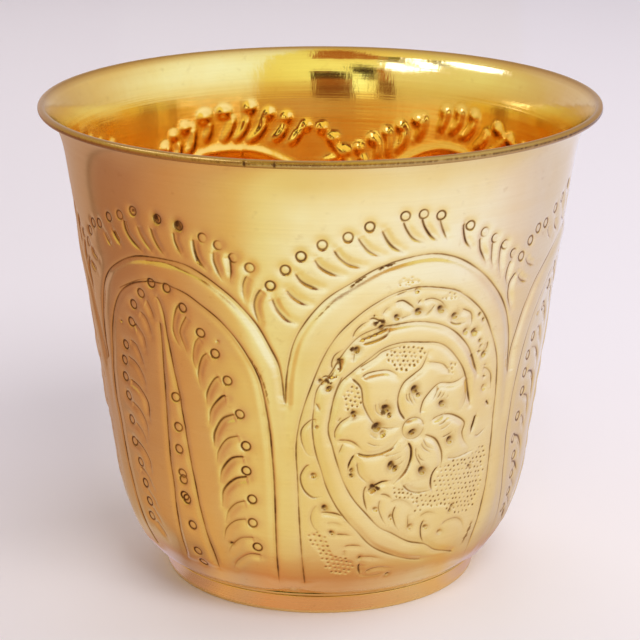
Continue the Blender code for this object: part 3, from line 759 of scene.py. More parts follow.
def wall_section():
    """The wall's closed cross-section in six stretches.

    They are the flange's underside, outer face, sheet round the wire, bead, inner face and flange's top.
    """
    foot = [(FLANGE_INNER_R, FLANGE_Z), (53.5, FLANGE_Z), (57.2, FLANGE_Z + 0.05), OUTER_FACE[0]]
    foot = smooth_path(foot, 1.5)[:-1]
    face = smooth_path(OUTER_FACE, FINE_ROW)
    centre = (BEAD_R, BEAD_Z)
    inner_curl = circle_arc(centre, BEAD_RADIUS - SHEET, 120, -135, 22)
    bead = circle_arc(centre, BEAD_RADIUS, -135, 125, 34)
    mouth = offset(face, SHEET)[::-1][2:]
    mouth = thinned(mouth, np.where(mouth[:, 1] > 100, 0.5, 1.1))
    top = FLANGE_Z + SHEET
    seat = smooth_path([mouth[-1], (57.0, top), (53.5, top), (FLANGE_INNER_R, top)], 1.5)[1:]
    return foot, face, inner_curl, bead, mouth, seat


def outward(path):
    """Unit directions to the right of the way the path runs."""
    along = np.gradient(path, axis=0)
    along /= np.hypot(*along.T)[:, None]
    return np.column_stack([along[:, 1], -along[:, 0]])


def mouth_relief(relief, mouth, face, out):
    """Heights of the marks on the rows of the inner face, and the outward direction at each row."""
    count = len(relief.s)
    mouth_s = np.interp(mouth[:, 1], face[:, 1], relief.s)
    rows = np.interp(mouth_s, relief.s, np.arange(count))
    lower = np.floor(rows).astype(int)
    upper = np.minimum(lower + 1, count - 1)
    share = (rows - lower)[:, None]
    height = relief.back[lower] * (1 - share) + relief.back[upper] * share
    direction = np.column_stack([np.interp(mouth[:, 1], face[:, 1], out[:, k]) for k in range(2)])
    return height, direction


def plain_stretch(path):
    """A stretch of the section without marks: its path, direction, heights and patina."""
    return path, np.zeros_like(path), np.zeros((1, COLUMNS)), np.zeros((len(path), COLUMNS))


def build_wall():
    """The chased wall. Its finish changes from satin to polished at the top of the bead, and below the lip
    the inside is tinted deeper orange as painted bounce light.
    """
    foot, face, inner_curl, bead, mouth, seat = wall_section()
    s = np.concatenate([[0], np.cumsum(np.hypot(*np.diff(face, axis=0).T))])
    relief = Relief(s, face[:, 0], face[:, 1])
    chase(relief)
    settle(relief)
    out = outward(face)
    mouth_height, mouth_out = mouth_relief(relief, mouth, face, out)
    bead_height, bead_patina_and_shade = rough_bead(bead)
    bead_out = (bead - (BEAD_R, BEAD_Z)) / BEAD_RADIUS
    stretches = [
        plain_stretch(foot),
        (face, out, relief.height, relief.patina_and_shade),
        plain_stretch(inner_curl),
        (bead, bead_out, bead_height, bead_patina_and_shade),
        (mouth, mouth_out, mouth_height, np.zeros((len(mouth), COLUMNS))),
        plain_stretch(seat),
    ]
    r = np.vstack([path[:, :1] + direction[:, :1] * height for path, direction, height, _ in stretches])
    z = np.vstack([path[:, 1:] + direction[:, 1:] * height for path, direction, height, _ in stretches])
    patina_and_shade = np.vstack([patina_and_shade for *_, patina_and_shade in stretches])
    wall = revolved("wall", r, z, closed=True)
    mark = wall.data.attributes.new("patina_and_shade", "FLOAT", "POINT")
    mark.data.foreach_set("value", patina_and_shade.astype(np.float32).ravel())
    first_inside = len(foot) + len(face) + len(inner_curl) + len(bead) // 2
    band = np.repeat((np.arange(len(r)) >= first_inside).astype(np.int32), COLUMNS)
    wall.data.materials.append(wall_brass("chased_brass", polish=0.0))
    wall.data.materials.append(wall_brass("mouth_brass", polish=1.0))
    wall.data.polygons.foreach_set("material_index", band)
    return wall


def rough_bead(bead):
    """Heights and patina of the bead: a rough dark line along its outer side, with a few file nicks, over a
    darker tone on the whole bead that is painted shade.
    """
    rng = np.random.default_rng(SEED + 3)
    angle = np.arange(COLUMNS) * 2 * math.pi / COLUMNS
    turn = np.degrees(np.arctan2(bead[:, 1] - BEAD_Z, bead[:, 0] - BEAD_R))[:, None]
    wander = sum(rng.uniform(0.5, 2.0) * np.sin(k * angle + rng.uniform(0, 6.3)) for k in (3, 7, 12, 19, 31))
    grain = rng.normal(0, 1, COLUMNS)
    grain = (grain + np.roll(grain, 1)) / 2
    strength = np.clip(0.25 + 0.5 * np.sin(angle - 0.15) + 0.3 * grain, 0, 1)
    line = np.exp(-(((turn - 4 - wander) / 13) ** 2)) * strength
    nick = np.zeros((len(bead), COLUMNS))
    for at in (-14.0, -8.4, 96.0, 203.0, 262.0):
        away = (angle - math.radians(at) + math.pi) % (2 * math.pi) - math.pi
        nick = np.maximum(nick, np.exp(-((away * BEAD_R / 0.35) ** 2)) * np.exp(-(((turn - 5) / 38) ** 2)))
    height = -0.10 * line - 0.12 * nick
    # The fixed 0.36 tones the whole bead darker: painted shade.
    return height, np.clip(0.6 * line + 0.7 * nick + 0.36, 0, 1)


# ---------------------------------------------------------------- meshes

def revolved(name, r, z, closed=False):
    """A mesh from radii and heights in millimetres, on rows and on columns round the axis.

    When closed, the last row joins the first.
    """
    rows, columns = r.shape
    angle = np.arange(columns) * 2 * math.pi / columns
    co = np.empty((rows, columns, 3), np.float32)
    co[..., 0] = r * np.sin(angle) * MM
    co[..., 1] = -r * np.cos(angle) * MM
    co[..., 2] = z * MM
    i = np.arange(rows if closed else rows - 1)[:, None]
    j = np.arange(columns)[None, :]
    i2, j2 = (i + 1) % rows, (j + 1) % columns
    quads = np.stack([i * columns + j, i * columns + j2, i2 * columns + j2, i2 * columns + j], -1)
    mesh = bpy.data.meshes.new(name)
    mesh.vertices.add(rows * columns)
    mesh.vertices.foreach_set("co", co.ravel())
    count = quads.shape[0] * columns
    mesh.loops.add(4 * count)
    mesh.loops.foreach_set("vertex_index", quads.astype(np.int32).ravel())
    mesh.polygons.add(count)
    mesh.polygons.foreach_set("loop_start", np.arange(0, 4 * count, 4, dtype=np.int32))
    mesh.update(calc_edges=True)
    mesh.shade_smooth()
    obj = bpy.data.objects.new(name, mesh)
    bpy.context.scene.collection.objects.link(obj)
    return obj


def turned(name, path, columns=288, waver=0.0):
    """A closed cross-section spun round the axis, with a slight unevenness."""
    rng = np.random.default_rng(len(name))
    path = np.asarray(path, float)
    angle = np.arange(columns) * 2 * math.pi / columns
    wave = sum(rng.uniform(-1, 1) * np.sin(k * angle + rng.uniform(0, 6.3)) for k in (2, 3, 5, 9, 14)) * waver
    r = path[:, :1] + wave
    z = np.repeat(path[:, 1:], columns, axis=1)
    return revolved(name, r, z, closed=True)


def rounded(corners, radius, count=5):
    """A closed outline with each corner rounded."""
    points = []
    p = np.array(corners, float)
    for before, corner, after in zip(np.roll(p, 1, 0), p, np.roll(p, -1, 0)):
        a = corner + (before - corner) / np.hypot(*(before - corner)) * radius
        b = corner + (after - corner) / np.hypot(*(after - corner)) * radius
        for t in np.linspace(0, 1, count):
            points.append((1 - t) ** 2 * a + 2 * t * (1 - t) * corner + t**2 * b)
    return points


def build_foot():
    """The foot ring: a channel of sheet with softly rounded edges."""
    top, low = FOOT_HIGH.z, FOOT_LOW.z
    wide = FOOT_HIGH.x
    narrow = wide - FOOT_TAPER
    corners = [
        (FOOT_FLANGE_R, top), (FOOT_FLANGE_R, top - PLATE), (wide - PLATE, top - PLATE),
        (narrow - PLATE, low + PLATE), (STAND_R, low + PLATE), (STAND_R, low), (narrow, low), (wide, top),
    ]
    foot = turned("foot", rounded(corners, 0.38), columns=360, waver=0.04)
    foot.data.materials.append(plain_brass("foot_brass", 0.28, tones=(BRASS_FOOT, BRASS_FOOT_WARM)))
    return foot


def build_floor_plate():
    """The floor disc, dished a hair by spinning."""
    top, low = DISC_HIGH.z, DISC_LOW.z
    dish = [
        (0.001, 0.1), (3, 0.1), (8, 0.1), (15, 0.1), (24, 0.08), (34, 0.05), (44, 0.02), (52, 0), (55.4, 0),
    ]
    path = [(radius, top - sunk) for radius, sunk in dish]
    path += [(56.0, top - 0.2), (56.0, low + 0.2), (55.4, low), (40, low), (20, low), (0.001, low)]
    r, z = np.array(path).T
    plate = revolved("floor_plate", np.repeat(r[:, None], 192, 1), np.repeat(z[:, None], 192, 1))
    flip_out(plate)
    plate.data.materials.append(plain_brass("floor_brass", 0.33))
    return plate


def flip_out(obj):
    """Welds the poles and makes all faces point outwards."""
    bm = bmesh.new()
    bm.from_mesh(obj.data)
    bmesh.ops.remove_doubles(bm, verts=bm.verts, dist=2.5e-6)
    bmesh.ops.recalc_face_normals(bm, faces=bm.faces)
    bm.to_mesh(obj.data)
    bm.free()
    obj.data.shade_smooth()


def build_fillet(name, points):
    """A ring of brazing filler with a hollow face."""
    fillet = turned(name, points, columns=360, waver=0.05)
    flip_out(fillet)
    fillet.data.materials.append(plain_brass("filler_brass", 0.42, warm=0.5))
    return fillet


def build_wire():
    """The core wire in the rolled rim."""
    centre = ((WIRE_HIGH.x - WIRE_LOW.x) / 2 - WIRE_RADIUS, (WIRE_LOW.z + WIRE_HIGH.z) / 2)
    wire = turned("wire", circle_arc(centre, WIRE_RADIUS, 0, -330, 12))
    flip_out(wire)
    wire.data.materials.append(wire_steel())
    return wire


# ---------------------------------------------------------------- materials

class Nodes:
    """Short names for adding and joining shader nodes."""

    def __init__(self, name):
        self.material = bpy.data.materials.new(name)
        self.material.use_nodes = True
        self.tree = self.material.node_tree
        self.shader = self.tree.nodes["Principled BSDF"]

    def add(self, kind, **settings):
        node = self.tree.nodes.new(kind)
        for key, value in settings.items():
            setattr(node, key, value)
        return node

    def link(self, start, end):
        self.tree.links.new(start, end)

    def noise(self, vector, scale, detail=3.0, rough=0.55):
        node = self.add("ShaderNodeTexNoise")
        node.inputs["Scale"].default_value = scale
        node.inputs["Detail"].default_value = detail
        node.inputs["Roughness"].default_value = rough
        self.link(vector, node.inputs["Vector"])
        return node.outputs["Fac"]

    def stretched(self, scale):
        """Object coordinates scaled along each axis, so that a noise is drawn out."""
        place = self.add("ShaderNodeTexCoord")
        mapping = self.add("ShaderNodeMapping")
        mapping.inputs["Scale"].default_value = scale
        self.link(place.outputs["Object"], mapping.inputs["Vector"])
        return mapping.outputs["Vector"]

    def ramp(self, value, low, high, a=0.0, b=1.0):
        node = self.add("ShaderNodeMapRange")
        node.inputs["From Min"].default_value = low
        node.inputs["From Max"].default_value = high
        node.inputs["To Min"].default_value = a
        node.inputs["To Max"].default_value = b
        self.link(value, node.inputs["Value"])
        return node.outputs["Result"]

    def math(self, operation, a, b):
        node = self.add("ShaderNodeMath", operation=operation)
        for socket, value in zip(node.inputs, (a, b)):
            if isinstance(value, (int, float)):
                socket.default_value = value
            else:
                self.link(value, socket)
        return node.outputs["Value"]

    def mix(self, factor, a, b):
        node = self.add("ShaderNodeMix", data_type="RGBA")
        share = [s for s in node.inputs if s.name == "Factor" and s.enabled][0]
        first, second = [s for s in node.inputs if s.type == "RGBA"]
        for socket, value in ((share, factor), (first, a), (second, b)):
            if isinstance(value, (int, float)):
                socket.default_value = value
            elif isinstance(value, tuple):
                socket.default_value = (*value, 1.0)
            else:
                self.link(value, socket)
        return [s for s in node.outputs if s.type == "RGBA"][0]

    def bump(self, heights):
        """Bumps one on another: pairs of height and distance in metres."""
        normal = None
        for height, distance in heights:
            node = self.add("ShaderNodeBump")
            node.inputs["Distance"].default_value = distance
            self.link(height, node.inputs["Height"])
            if normal is not None:
                self.link(normal, node.inputs["Normal"])
            normal = node.outputs["Normal"]
        self.link(normal, self.shader.inputs["Normal"])


BRASS = (0.88, 0.74, 0.38)
BRASS_WARM = (0.86, 0.66, 0.27)
BRASS_DULL = (0.72, 0.52, 0.22)
BRASS_FOOT = (0.90, 0.67, 0.30)
BRASS_FOOT_WARM = (0.88, 0.60, 0.22)
# Inside brass, tinted deeper orange than the outside: painted bounce light.
POLISHED_WITH_PAINTED_BOUNCE = (0.93, 0.595, 0.185)
POLISHED_WITH_PAINTED_BOUNCE_WARM = (0.90, 0.53, 0.14)
# Patina colours, also used for the painted shade beside lines, on dimples and over the bead.
DARK_PATINA_AND_SHADE = (0.10, 0.038, 0.009)
PALE_PATINA_AND_SHADE = (0.50, 0.27, 0.06)


def brass_nodes(name, roughness, warm=0.25, tones=(BRASS, BRASS_WARM)):
    """Spun brass: turning lines, tarnish clouds and uneven polish.

    Returns the nodes, the plain colour, the roughness, and the three noises that make its bumps.
    """
    n = Nodes(name)
    place = n.stretched((1, 1, 1))
    lines = n.noise(n.stretched((14, 14, 1500)), 1.0, 4.0, 0.6)
    broad = n.noise(n.stretched((5, 5, 210)), 1.0, 3.0, 0.6)
    clouds = n.noise(place, 26, 4.0, 0.6)
    specks = n.noise(place, 240, 3.0, 0.65)
    colour = n.mix(n.ramp(clouds, 0.38, 0.68, 0.0, 0.8), *tones)
    colour = n.mix(n.ramp(broad, 0.45, 0.7, 0.0, 0.3), colour, tones[1])
    colour = n.mix(n.ramp(specks, 0.62, 0.8, 0.0, 0.35 + warm), colour, BRASS_DULL)
    colour = n.mix(n.ramp(lines, 0.4, 0.65, 0.0, 0.09), colour, BRASS_DULL)
    rough = n.ramp(clouds, 0.3, 0.75, roughness - 0.04, roughness + 0.05)
    rough = n.math("ADD", rough, n.ramp(lines, 0.35, 0.7, -0.02, 0.03))
    n.shader.inputs["Metallic"].default_value = 1.0
    n.shader.inputs["Anisotropic"].default_value = 0.6
    n.shader.inputs["Anisotropic Rotation"].default_value = 0.25
    tangent = n.add("ShaderNodeTangent", direction_type="RADIAL", axis="Z")
    n.link(tangent.outputs["Tangent"], n.shader.inputs["Tangent"])
    return n, colour, rough, lines, broad, specks


def wall_brass(name, polish):
    """The wall's brass, with patina and painted shade in and beside the chased marks, and below the lip
    inside a deeper orange that is painted bounce light. Polish runs from 0, satin, to 1, buffed.
    """
    n, colour, rough, lines, broad, specks = brass_nodes(name, 0.17 - 0.035 * polish)
    bumps = [(lines, 0.000006 + 0.000018 * polish), (broad, 0.00003), (specks, 0.000004)]
    if polish:
        n.shader.inputs["Anisotropic"].default_value = 0.3
        bumps.append((n.noise(n.stretched((210, 210, 14)), 1.0, 3.0, 0.6), 0.00009))
        bumps.append((n.noise(n.stretched((4, 4, 620)), 1.0, 2.0, 0.5), 0.00004))
        split = n.add("ShaderNodeSeparateXYZ")
        n.link(n.stretched((1, 1, 1)), split.inputs[0])
        # Painted bounce light: below the lip the inside takes the deeper orange tones.
        inside = n.mix(n.ramp(broad, 0.4, 0.7), POLISHED_WITH_PAINTED_BOUNCE, POLISHED_WITH_PAINTED_BOUNCE_WARM)
        colour = n.mix(n.ramp(split.outputs["Z"], 0.150, 0.166), inside, colour)
    # The map darkens the colour with patina in the chased marks and with painted shade beside them and over
    # the bead.
    mark = n.add("ShaderNodeAttribute", attribute_name="patina_and_shade").outputs["Fac"]
    broken = n.noise(n.stretched((1, 1, 1)), 900, 2.0, 0.6)
    dark = n.math("MULTIPLY", n.ramp(mark, 0.22, 0.78), n.ramp(broken, 0.3, 0.5, 0.75, 1.0))
    light = n.ramp(mark, 0.03, 0.4, 0.0, 0.85)
    colour = n.mix(light, colour, PALE_PATINA_AND_SHADE)
    colour = n.mix(dark, colour, DARK_PATINA_AND_SHADE)
    n.link(colour, n.shader.inputs["Base Color"])
    n.link(n.math("ADD", rough, n.math("MULTIPLY", dark, 0.3)), n.shader.inputs["Roughness"])
    n.link(n.math("SUBTRACT", 1.0, n.math("MULTIPLY", dark, 0.2)), n.shader.inputs["Metallic"])
    n.bump(bumps)
    return n.material


def plain_brass(name, roughness, warm=0.25, tones=(BRASS, BRASS_WARM)):
    """Spun brass without chased marks."""
    n, colour, rough, lines, broad, specks = brass_nodes(name, roughness, warm, tones)
    n.link(colour, n.shader.inputs["Base Color"])
    n.link(rough, n.shader.inputs["Roughness"])
    n.bump([(lines, 0.00001), (broad, 0.00003), (specks, 0.00001)])
    return n.material


def wire_steel():
    """Drawn iron wire with a trace of rust."""
    n = Nodes("wire_steel")
    rust = n.noise(n.stretched((1, 1, 1)), 300, 4.0, 0.6)
    colour = n.mix(n.ramp(rust, 0.5, 0.7), (0.45, 0.44, 0.43), (0.22, 0.10, 0.05))
    n.link(colour, n.shader.inputs["Base Color"])
    n.link(n.ramp(rust, 0.3, 0.7, 0.3, 0.7), n.shader.inputs["Roughness"])
    n.shader.inputs["Metallic"].default_value = 0.9
    n.bump([(rust, 0.00001)])
    return n.material


# ---------------------------------------------------------------- stage

def build_floor():
    """The pale table top."""
    mesh = bpy.data.meshes.new("floor")
    mesh.from_pydata([(-3, -3, 0), (3, -3, 0), (3, 3, 0), (-3, 3, 0)], [], [(0, 1, 2, 3)])
    n = Nodes("floor")
    n.shader.inputs["Base Color"].default_value = (0.86, 0.82, 0.86, 1.0)
    n.shader.inputs["Roughness"].default_value = 0.9
    mesh.materials.append(n.material)
    obj = bpy.data.objects.new("floor", mesh)
    bpy.context.scene.collection.objects.link(obj)
    obj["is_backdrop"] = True


def area_light(name, place, target, size, power, colour=(1, 1, 1)):
    """A soft rectangular light that the brass doesn't mirror."""
    data = bpy.data.lights.new(name, "AREA")
    data.shape = "RECTANGLE"
    data.size, data.size_y = size
    data.energy = power
    data.color = colour
    light = bpy.data.objects.new(name, data)
    light.location = place
    light.rotation_euler = (Vector(target) - Vector(place)).to_track_quat("-Z", "Y").to_euler()
    light.visible_glossy = False
    bpy.context.scene.collection.objects.link(light)


def tinted(name, grid, tones):
    """A sheet through a grid of places that glows with its own tone at each. Only reflections show it."""
    rows, columns = grid.shape[:2]
    first = (np.arange(rows - 1)[:, None] * columns + np.arange(columns - 1)).ravel()
    faces = np.column_stack([first, first + 1, first + columns + 1, first + columns])
    mesh = bpy.data.meshes.new(name)
    mesh.from_pydata(grid.reshape(-1, 3).tolist(), [], faces.tolist())
    layer = mesh.color_attributes.new("tone", "FLOAT_COLOR", "POINT")
    layer.data.foreach_set("color", np.dstack([tones, np.ones((rows, columns))]).ravel())
    n = Nodes(name)
    tone = n.add("ShaderNodeAttribute", attribute_name="tone")
    n.link(tone.outputs["Color"], n.shader.inputs["Emission Color"])
    n.shader.inputs["Base Color"].default_value = (0, 0, 0, 1)
    n.shader.inputs["Specular IOR Level"].default_value = 0.0
    n.shader.inputs["Emission Strength"].default_value = 1.0
    mesh.materials.append(n.material)
    obj = bpy.data.objects.new(name, mesh)
    bpy.context.scene.collection.objects.link(obj)
    obj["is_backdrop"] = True
    obj.visible_camera = False
    obj.visible_diffuse = False
    obj.visible_shadow = False
    return obj


def blend(table, angles, column):
    """The tones in one column of a table of (angle, tone, tone, ...) rows, at the angles asked for."""
    at = [row[0] for row in table]
    return np.column_stack([np.interp(angles, at, [row[column][c] for row in table]) for c in range(3)])


# Painted reflection of the floor: glowing tones that the wall mirrors, darker at the foot as painted shade.
# Each row is an angle on the wall, then the tone at the foot, near the pot, further off, and far.
FLOOR_REFLECTION_TONES = [
    (-88, (0.60, 0.45, 0.41), (0.50, 0.36, 0.30), (0.45, 0.30, 0.24), (0.52, 0.37, 0.31)),
    (-68, (0.56, 0.42, 0.42), (0.54, 0.35, 0.27), (0.50, 0.31, 0.29), (0.50, 0.30, 0.25)),
    (-66.5, (0.54, 0.40, 0.38), (0.54, 0.35, 0.27), (0.50, 0.31, 0.29), (0.48, 0.29, 0.24)),
    (-65, (0.50, 0.36, 0.33), (0.48, 0.30, 0.22), (0.30, 0.17, 0.13), (0.24, 0.13, 0.09)),
    (-63.5, (0.46, 0.30, 0.27), (0.58, 0.33, 0.22), (0.50, 0.28, 0.23), (0.42, 0.22, 0.17)),
    (-60, (0.42, 0.25, 0.18), (0.60, 0.32, 0.18), (0.50, 0.27, 0.21), (0.40, 0.19, 0.14)),
    (-50, (0.50, 0.29, 0.20), (0.65, 0.39, 0.26), (0.53, 0.28, 0.20), (0.45, 0.21, 0.15)),
    (-40, (0.70, 0.41, 0.20), (0.76, 0.47, 0.26), (0.64, 0.34, 0.21), (0.60, 0.30, 0.18)),
    (-30, (0.62, 0.39, 0.25), (0.73, 0.48, 0.29), (0.69, 0.43, 0.26), (0.69, 0.41, 0.24)),
    (-20, (0.70, 0.37, 0.19), (0.84, 0.66, 0.38), (0.82, 0.61, 0.31), (0.82, 0.59, 0.31)),
    (-14, (0.68, 0.37, 0.20), (0.87, 0.74, 0.46), (0.92, 0.86, 0.60), (0.93, 0.92, 0.72)),
    (-5, (0.66, 0.37, 0.21), (0.88, 0.76, 0.53), (0.88, 0.78, 0.50), (1.05, 1.15, 1.36)),
    (10, (0.66, 0.39, 0.24), (0.92, 0.81, 0.68), (0.98, 0.91, 0.78), (1.06, 1.13, 1.43)),
    (25, (0.72, 0.49, 0.32), (0.92, 0.85, 0.85), (0.99, 0.94, 0.92), (1.05, 1.12, 1.53)),
    (40, (0.74, 0.57, 0.39), (0.88, 0.78, 0.68), (0.95, 0.90, 0.98), (1.02, 1.06, 1.53)),
    (50, (0.78, 0.56, 0.32), (0.87, 0.77, 0.77), (0.91, 0.84, 0.94), (0.90, 0.83, 1.15)),
    (60, (0.72, 0.58, 0.53), (0.84, 0.76, 0.79), (0.83, 0.73, 0.77), (0.80, 0.75, 1.10)),
    (70, (0.66, 0.51, 0.51), (0.72, 0.63, 0.75), (0.76, 0.67, 0.77), (0.80, 0.76, 1.02)),
    (88, (0.62, 0.49, 0.47), (0.66, 0.57, 0.64), (0.78, 0.71, 0.81), (0.88, 0.86, 1.06)),
]
# Painted reflection of the room: glowing tones that the inside of the lip mirrors. Each row is a direction
# from -Y towards +X, then the tone low down, higher, and high up.
ROOM_REFLECTION_TONES = [
    (-180, (0.70, 0.60, 0.58), (0.74, 0.64, 0.60), (0.85, 0.78, 0.74)),
    (-145, (0.72, 0.56, 0.50), (0.72, 0.58, 0.52), (0.82, 0.74, 0.66)),
    (-122, (0.70, 0.50, 0.24), (0.73, 0.57, 0.31), (0.86, 0.78, 0.60)),
    (-88, (0.74, 0.50, 0.15), (0.88, 0.82, 0.40), (0.86, 0.76, 0.34)),
    (-62, (0.77, 0.64, 0.24), (0.88, 0.78, 0.38), (0.94, 0.76, 0.26)),
    (-40, (0.74, 0.58, 0.20), (0.92, 0.82, 0.38), (0.94, 0.74, 0.22)),
    (-28, (0.66, 0.42, 0.11), (1.05, 0.95, 0.34), (0.94, 0.74, 0.22)),
    (-8, (0.56, 0.25, 0.05), (1.08, 1.02, 0.38), (0.94, 0.76, 0.22)),
    (6, (0.62, 0.32, 0.07), (1.04, 0.98, 0.34), (0.98, 0.90, 0.30)),
    (31, (0.74, 0.46, 0.11), (0.95, 0.83, 0.26), (0.94, 0.86, 0.30)),
    (34, (0.90, 0.80, 0.40), (1.04, 1.14, 1.05), (0.98, 1.00, 0.74)),
    (62, (0.94, 0.86, 0.50), (1.06, 1.16, 1.18), (0.98, 1.00, 0.84)),
    (88, (0.94, 0.88, 0.60), (1.00, 1.06, 0.98), (0.95, 0.94, 0.80)),
    (125, (0.76, 0.60, 0.38), (0.82, 0.68, 0.46), (0.84, 0.74, 0.56)),
    (155, (0.62, 0.46, 0.34), (0.68, 0.54, 0.42), (0.80, 0.70, 0.60)),
    (180, (0.70, 0.60, 0.58), (0.74, 0.64, 0.60), (0.85, 0.78, 0.74)),
]
# Glow tones of the sheets that paint the reflections of things in the room; WHITE paints window highlights.
DARK = (0.05, 0.03, 0.015)
BROWN = (0.24, 0.085, 0.025)
OLIVE = (0.22, 0.18, 0.05)
RUST = (0.46, 0.15, 0.03)
AMBER = (0.62, 0.30, 0.07)
GOLD = (1.08, 0.80, 0.20)
SUNLIT = (1.25, 1.35, 0.65)
WHITE = (4.0, 4.4, 6.0)
# Each thing is a glowing sheet that paints its reflection, as a list of rows: (elevation, direction from,
# direction to, tone).
ROOM_REFLECTION_SHEETS = {
    "ceiling": [(84, -44, 6, GOLD), (79, -44, 6, RUST), (59, -42, 6, RUST), (55, -40, 4, AMBER)],
    "lit_wall": [(24, -23, -16, SUNLIT), (12, -25, -16, SUNLIT), (4, -28, -17, GOLD), (0, -27, -18, AMBER)],
    "figure": [
        (33, -4, 4, RUST), (28, -13, 4, DARK), (24, -14, 4, DARK), (19, -14, 3, RUST), (12, -16, 3, BROWN),
        (2, -17, 3, BROWN), (-4, -16, 1, RUST),
    ],
    "arm": [
        (42, -26, -17, OLIVE), (36, -29, -15, DARK), (29, -28, -17, DARK), (24, -27, -23, DARK),
        (21, -27, -24, RUST),
    ],
    "door": [
        (38, -35, -30, RUST), (24, -35, -29, RUST), (17, -36, -29, BROWN), (3, -37, -29, BROWN),
        (-3, -36, -30, AMBER),
    ],
    "lintel": [(61, -58, -45, OLIVE), (49, -50, -37, OLIVE)],
    "post": [(54, -77, -68, OLIVE), (42, -74, -66, OLIVE)],
    "window_near": [(46, -44, -36, WHITE), (35, -55, -39, WHITE)],
    "window_middle": [(56, -66, -56, WHITE), (38, -65, -56, WHITE)],
    "window_far": [(51, -88, -76, WHITE), (44, -100, -80, WHITE), (37, -109, -94, WHITE)],
}
# Rows of the glowing sheet that paints the floor's reflection.
FLOOR_REACH = (0.0, 0.03, 0.155, 0.275, 0.6, 2.1)  # how far off the wall each row of the mirrored floor lies
# The rings round the foot glow: a painted reflection of the floor with painted shade in it.
FOOT_REACH = (0.0585, 0.066, 0.072, 0.080, 0.095)  # radii of the rings of floor round the foot
ROOM_RADIUS = 1.9
ROOM_ELEVATIONS = (-4, 4, 24, 44, 62, 90)
THINGS_RADIUS = 1.7
ROOM_CENTRE = 0.17  # height of the pot's mouth


def toward(azimuth, elevation, radius):
    """Places at a distance from the pot's mouth, in directions given in degrees."""
    a, e = np.radians(np.broadcast_arrays(azimuth, elevation))
    level = radius * np.cos(e)
    return np.stack([level * np.sin(a), -level * np.cos(a), ROOM_CENTRE + radius * np.sin(e)], axis=-1)


def mirrored_ray(angles, distance, radius=0.088):
    """Where the viewer's lines of sight land after they glance off the wall at angles round the axis."""
    a = np.radians(angles)
    return np.column_stack([
        radius * np.sin(a) + distance * np.sin(2 * a),
        -radius * np.cos(a) - distance * np.cos(2 * a),
        np.full(len(a), 0.0006),
    ])


def paint_floor_reflection():
    """A glowing sheet on the floor in front of the pot, as far as the wall mirrors it: a painted reflection
    of the floor.
    """
    angles = np.arange(-88, 88.5, 0.5)
    foot, near, off, far = [blend(FLOOR_REFLECTION_TONES, angles, k) for k in (1, 2, 3, 4)]
    grid = np.stack([mirrored_ray(angles, distance) for distance in FLOOR_REACH])
    tinted("painted_floor_reflection", grid, np.stack([(foot + near) / 2, near, off, far, far, far]))


def paint_foot_reflection():
    """Glowing rings close round the foot, just under the painted floor reflection: a painted reflection of
    the floor there, cooler next to the foot, then a darker, warmer ring of painted shade.
    """
    angles = np.arange(-180, 181, 5.0)
    foot, near = [blend(FLOOR_REFLECTION_TONES, angles, k) for k in (1, 2)]
    grid = np.stack([mirrored_ray(angles, 0, radius) - (0, 0, 0.0003) for radius in FOOT_REACH])
    # Tone of each ring: cooler next to the foot, then darker and warmer as painted shade, then plain.
    shades = [(1.0, 1.0, 1.3), (1.04, 1.1, 1.5), (0.9, 0.72, 0.68), (1.0, 1.0, 1.0)]
    tinted("painted_foot_reflection", grid, np.stack([foot * shade for shade in shades] + [(foot + near) / 2]))


def paint_room_reflection():
    """Glowing sheets that paint the reflection of the room's dome and of the things in it, each a little
    nearer than the one before.
    """
    angles = np.arange(-180, 181, 3.0)
    low, middle, high = [blend(ROOM_REFLECTION_TONES, angles, k) for k in (1, 2, 3)]
    dome = np.stack([toward(angles, elevation, ROOM_RADIUS) for elevation in ROOM_ELEVATIONS])
    tinted("painted_room_reflection", dome, np.stack([low, low, middle, middle, high, high]))
    for order, (name, rows) in enumerate(ROOM_REFLECTION_SHEETS.items()):
        across = np.array([np.linspace(start, end, 5) for _, start, end, _ in rows])
        up = np.array([[elevation] * 5 for elevation, *_ in rows])
        tones = np.array([[tone] * 5 for *_, tone in rows])
        tinted(name, toward(across, up, THINGS_RADIUS - 0.01 * order), tones)


def build_backdrop():
    """A pale wall far round the table. Only the viewer sees it."""
    radius = 2.9
    angles = np.arange(0, 361, 15.0)
    heights = (-0.05, 0.05, 0.9, 2.6)
    wall = np.stack([toward(angles, 0, radius) + (0, 0, height - ROOM_CENTRE) for height in heights])
    tones = [(0.70, 0.64, 0.69), (0.72, 0.66, 0.71), (0.84, 0.80, 0.83), (0.88, 0.86, 0.88)]
    backdrop = tinted("backdrop", wall, np.array([[tone] * len(angles) for tone in tones]))
    backdrop.visible_camera = True
    backdrop.visible_glossy = False


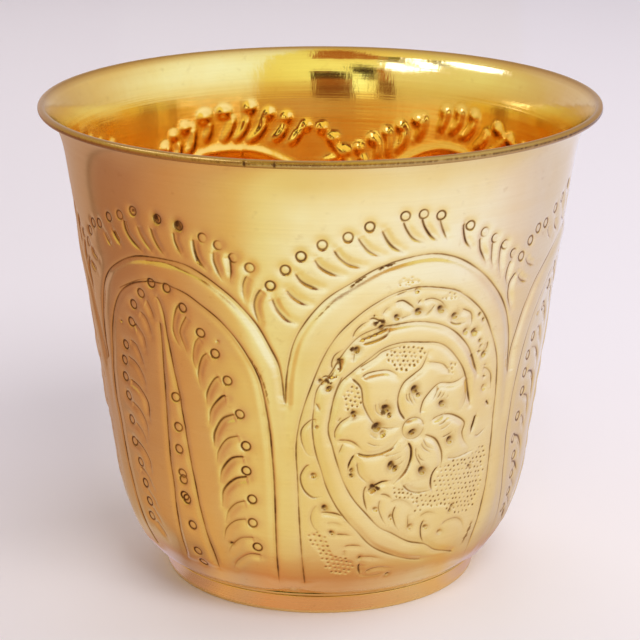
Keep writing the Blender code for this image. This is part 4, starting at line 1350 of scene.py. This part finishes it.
def build_stage():
    """The table, the backdrop, the glowing sheets that paint the reflections round it, and the lights."""
    build_floor()
    build_backdrop()
    paint_floor_reflection()
    paint_foot_reflection()
    paint_room_reflection()
    area_light("key", (0.5, -1.0, 1.3), (0, 0, 0.08), (1.0, 0.8), 14)
    area_light("fill", (1.2, 0.3, 0.9), (0, 0, 0.1), (0.9, 0.9), 6, (1.0, 0.96, 0.98))
    area_light("back", (-0.3, 1.2, 1.2), (0, 0, 0.1), (1.4, 0.8), 6, (1.0, 0.97, 0.98))
    world = bpy.data.worlds.new("studio")
    world.use_nodes = True
    background = world.node_tree.nodes["Background"]
    background.inputs["Color"].default_value = (0.98, 0.92, 0.95, 1.0)
    background.inputs["Strength"].default_value = 0.42
    bpy.context.scene.world = world
    bpy.context.scene.view_settings.view_transform = "Standard"


def build_camera():
    """The viewpoint: 852 mm in front of the axis, 354 mm up, looking 17.16 degrees down."""
    data = bpy.data.cameras.new("camera")
    data.lens = 135
    data.sensor_width = 36
    data.shift_x = -0.0005
    data.shift_y = 0.0075
    camera = bpy.data.objects.new("camera", data)
    camera.location = (0, -0.852, 0.3538)
    camera.rotation_euler = (math.radians(90 - 17.159), 0, 0)
    bpy.context.scene.collection.objects.link(camera)
    bpy.context.scene.camera = camera


# ---------------------------------------------------------------- assembly

def attach(piece, node):
    """Makes a piece stand for a CAD node: parents it to the root body and hides the node."""
    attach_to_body(piece, "root")
    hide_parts(node)


def main():
    """Builds the viewpoint, the stage and the six pieces."""
    build_camera()
    build_stage()
    attach(build_wall(), "body_wall")
    attach(build_wire(), "rim_wire")
    attach(build_floor_plate(), "floor_disc")
    attach(build_foot(), "foot_ring")
    low = FOOT_HIGH.z + 0.12
    fillet = [
        (57.9, low), (59.25, low), (59.6, low + 0.3), (60.15, low + 0.85), (60.9, low + 1.6),
        (59.5, low + 0.75),
    ]
    attach(build_fillet("outer_fillet", fillet), "foot_braze")
    top = DISC_HIGH.z
    fillet = [
        (56.5, top - 0.5), (56.5, top), (57.6, top + 0.05), (59.2, top + 0.55), (61.2, top + 1.4),
        (59.0, top - 0.1),
    ]
    attach(build_fillet("inner_fillet", fillet), "floor_braze")


def corners(box):
    return [[round(value, 6) for value in corner] for corner in box]


main()
{"cad": corners(CAD_BOX), "visual": corners(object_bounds())}
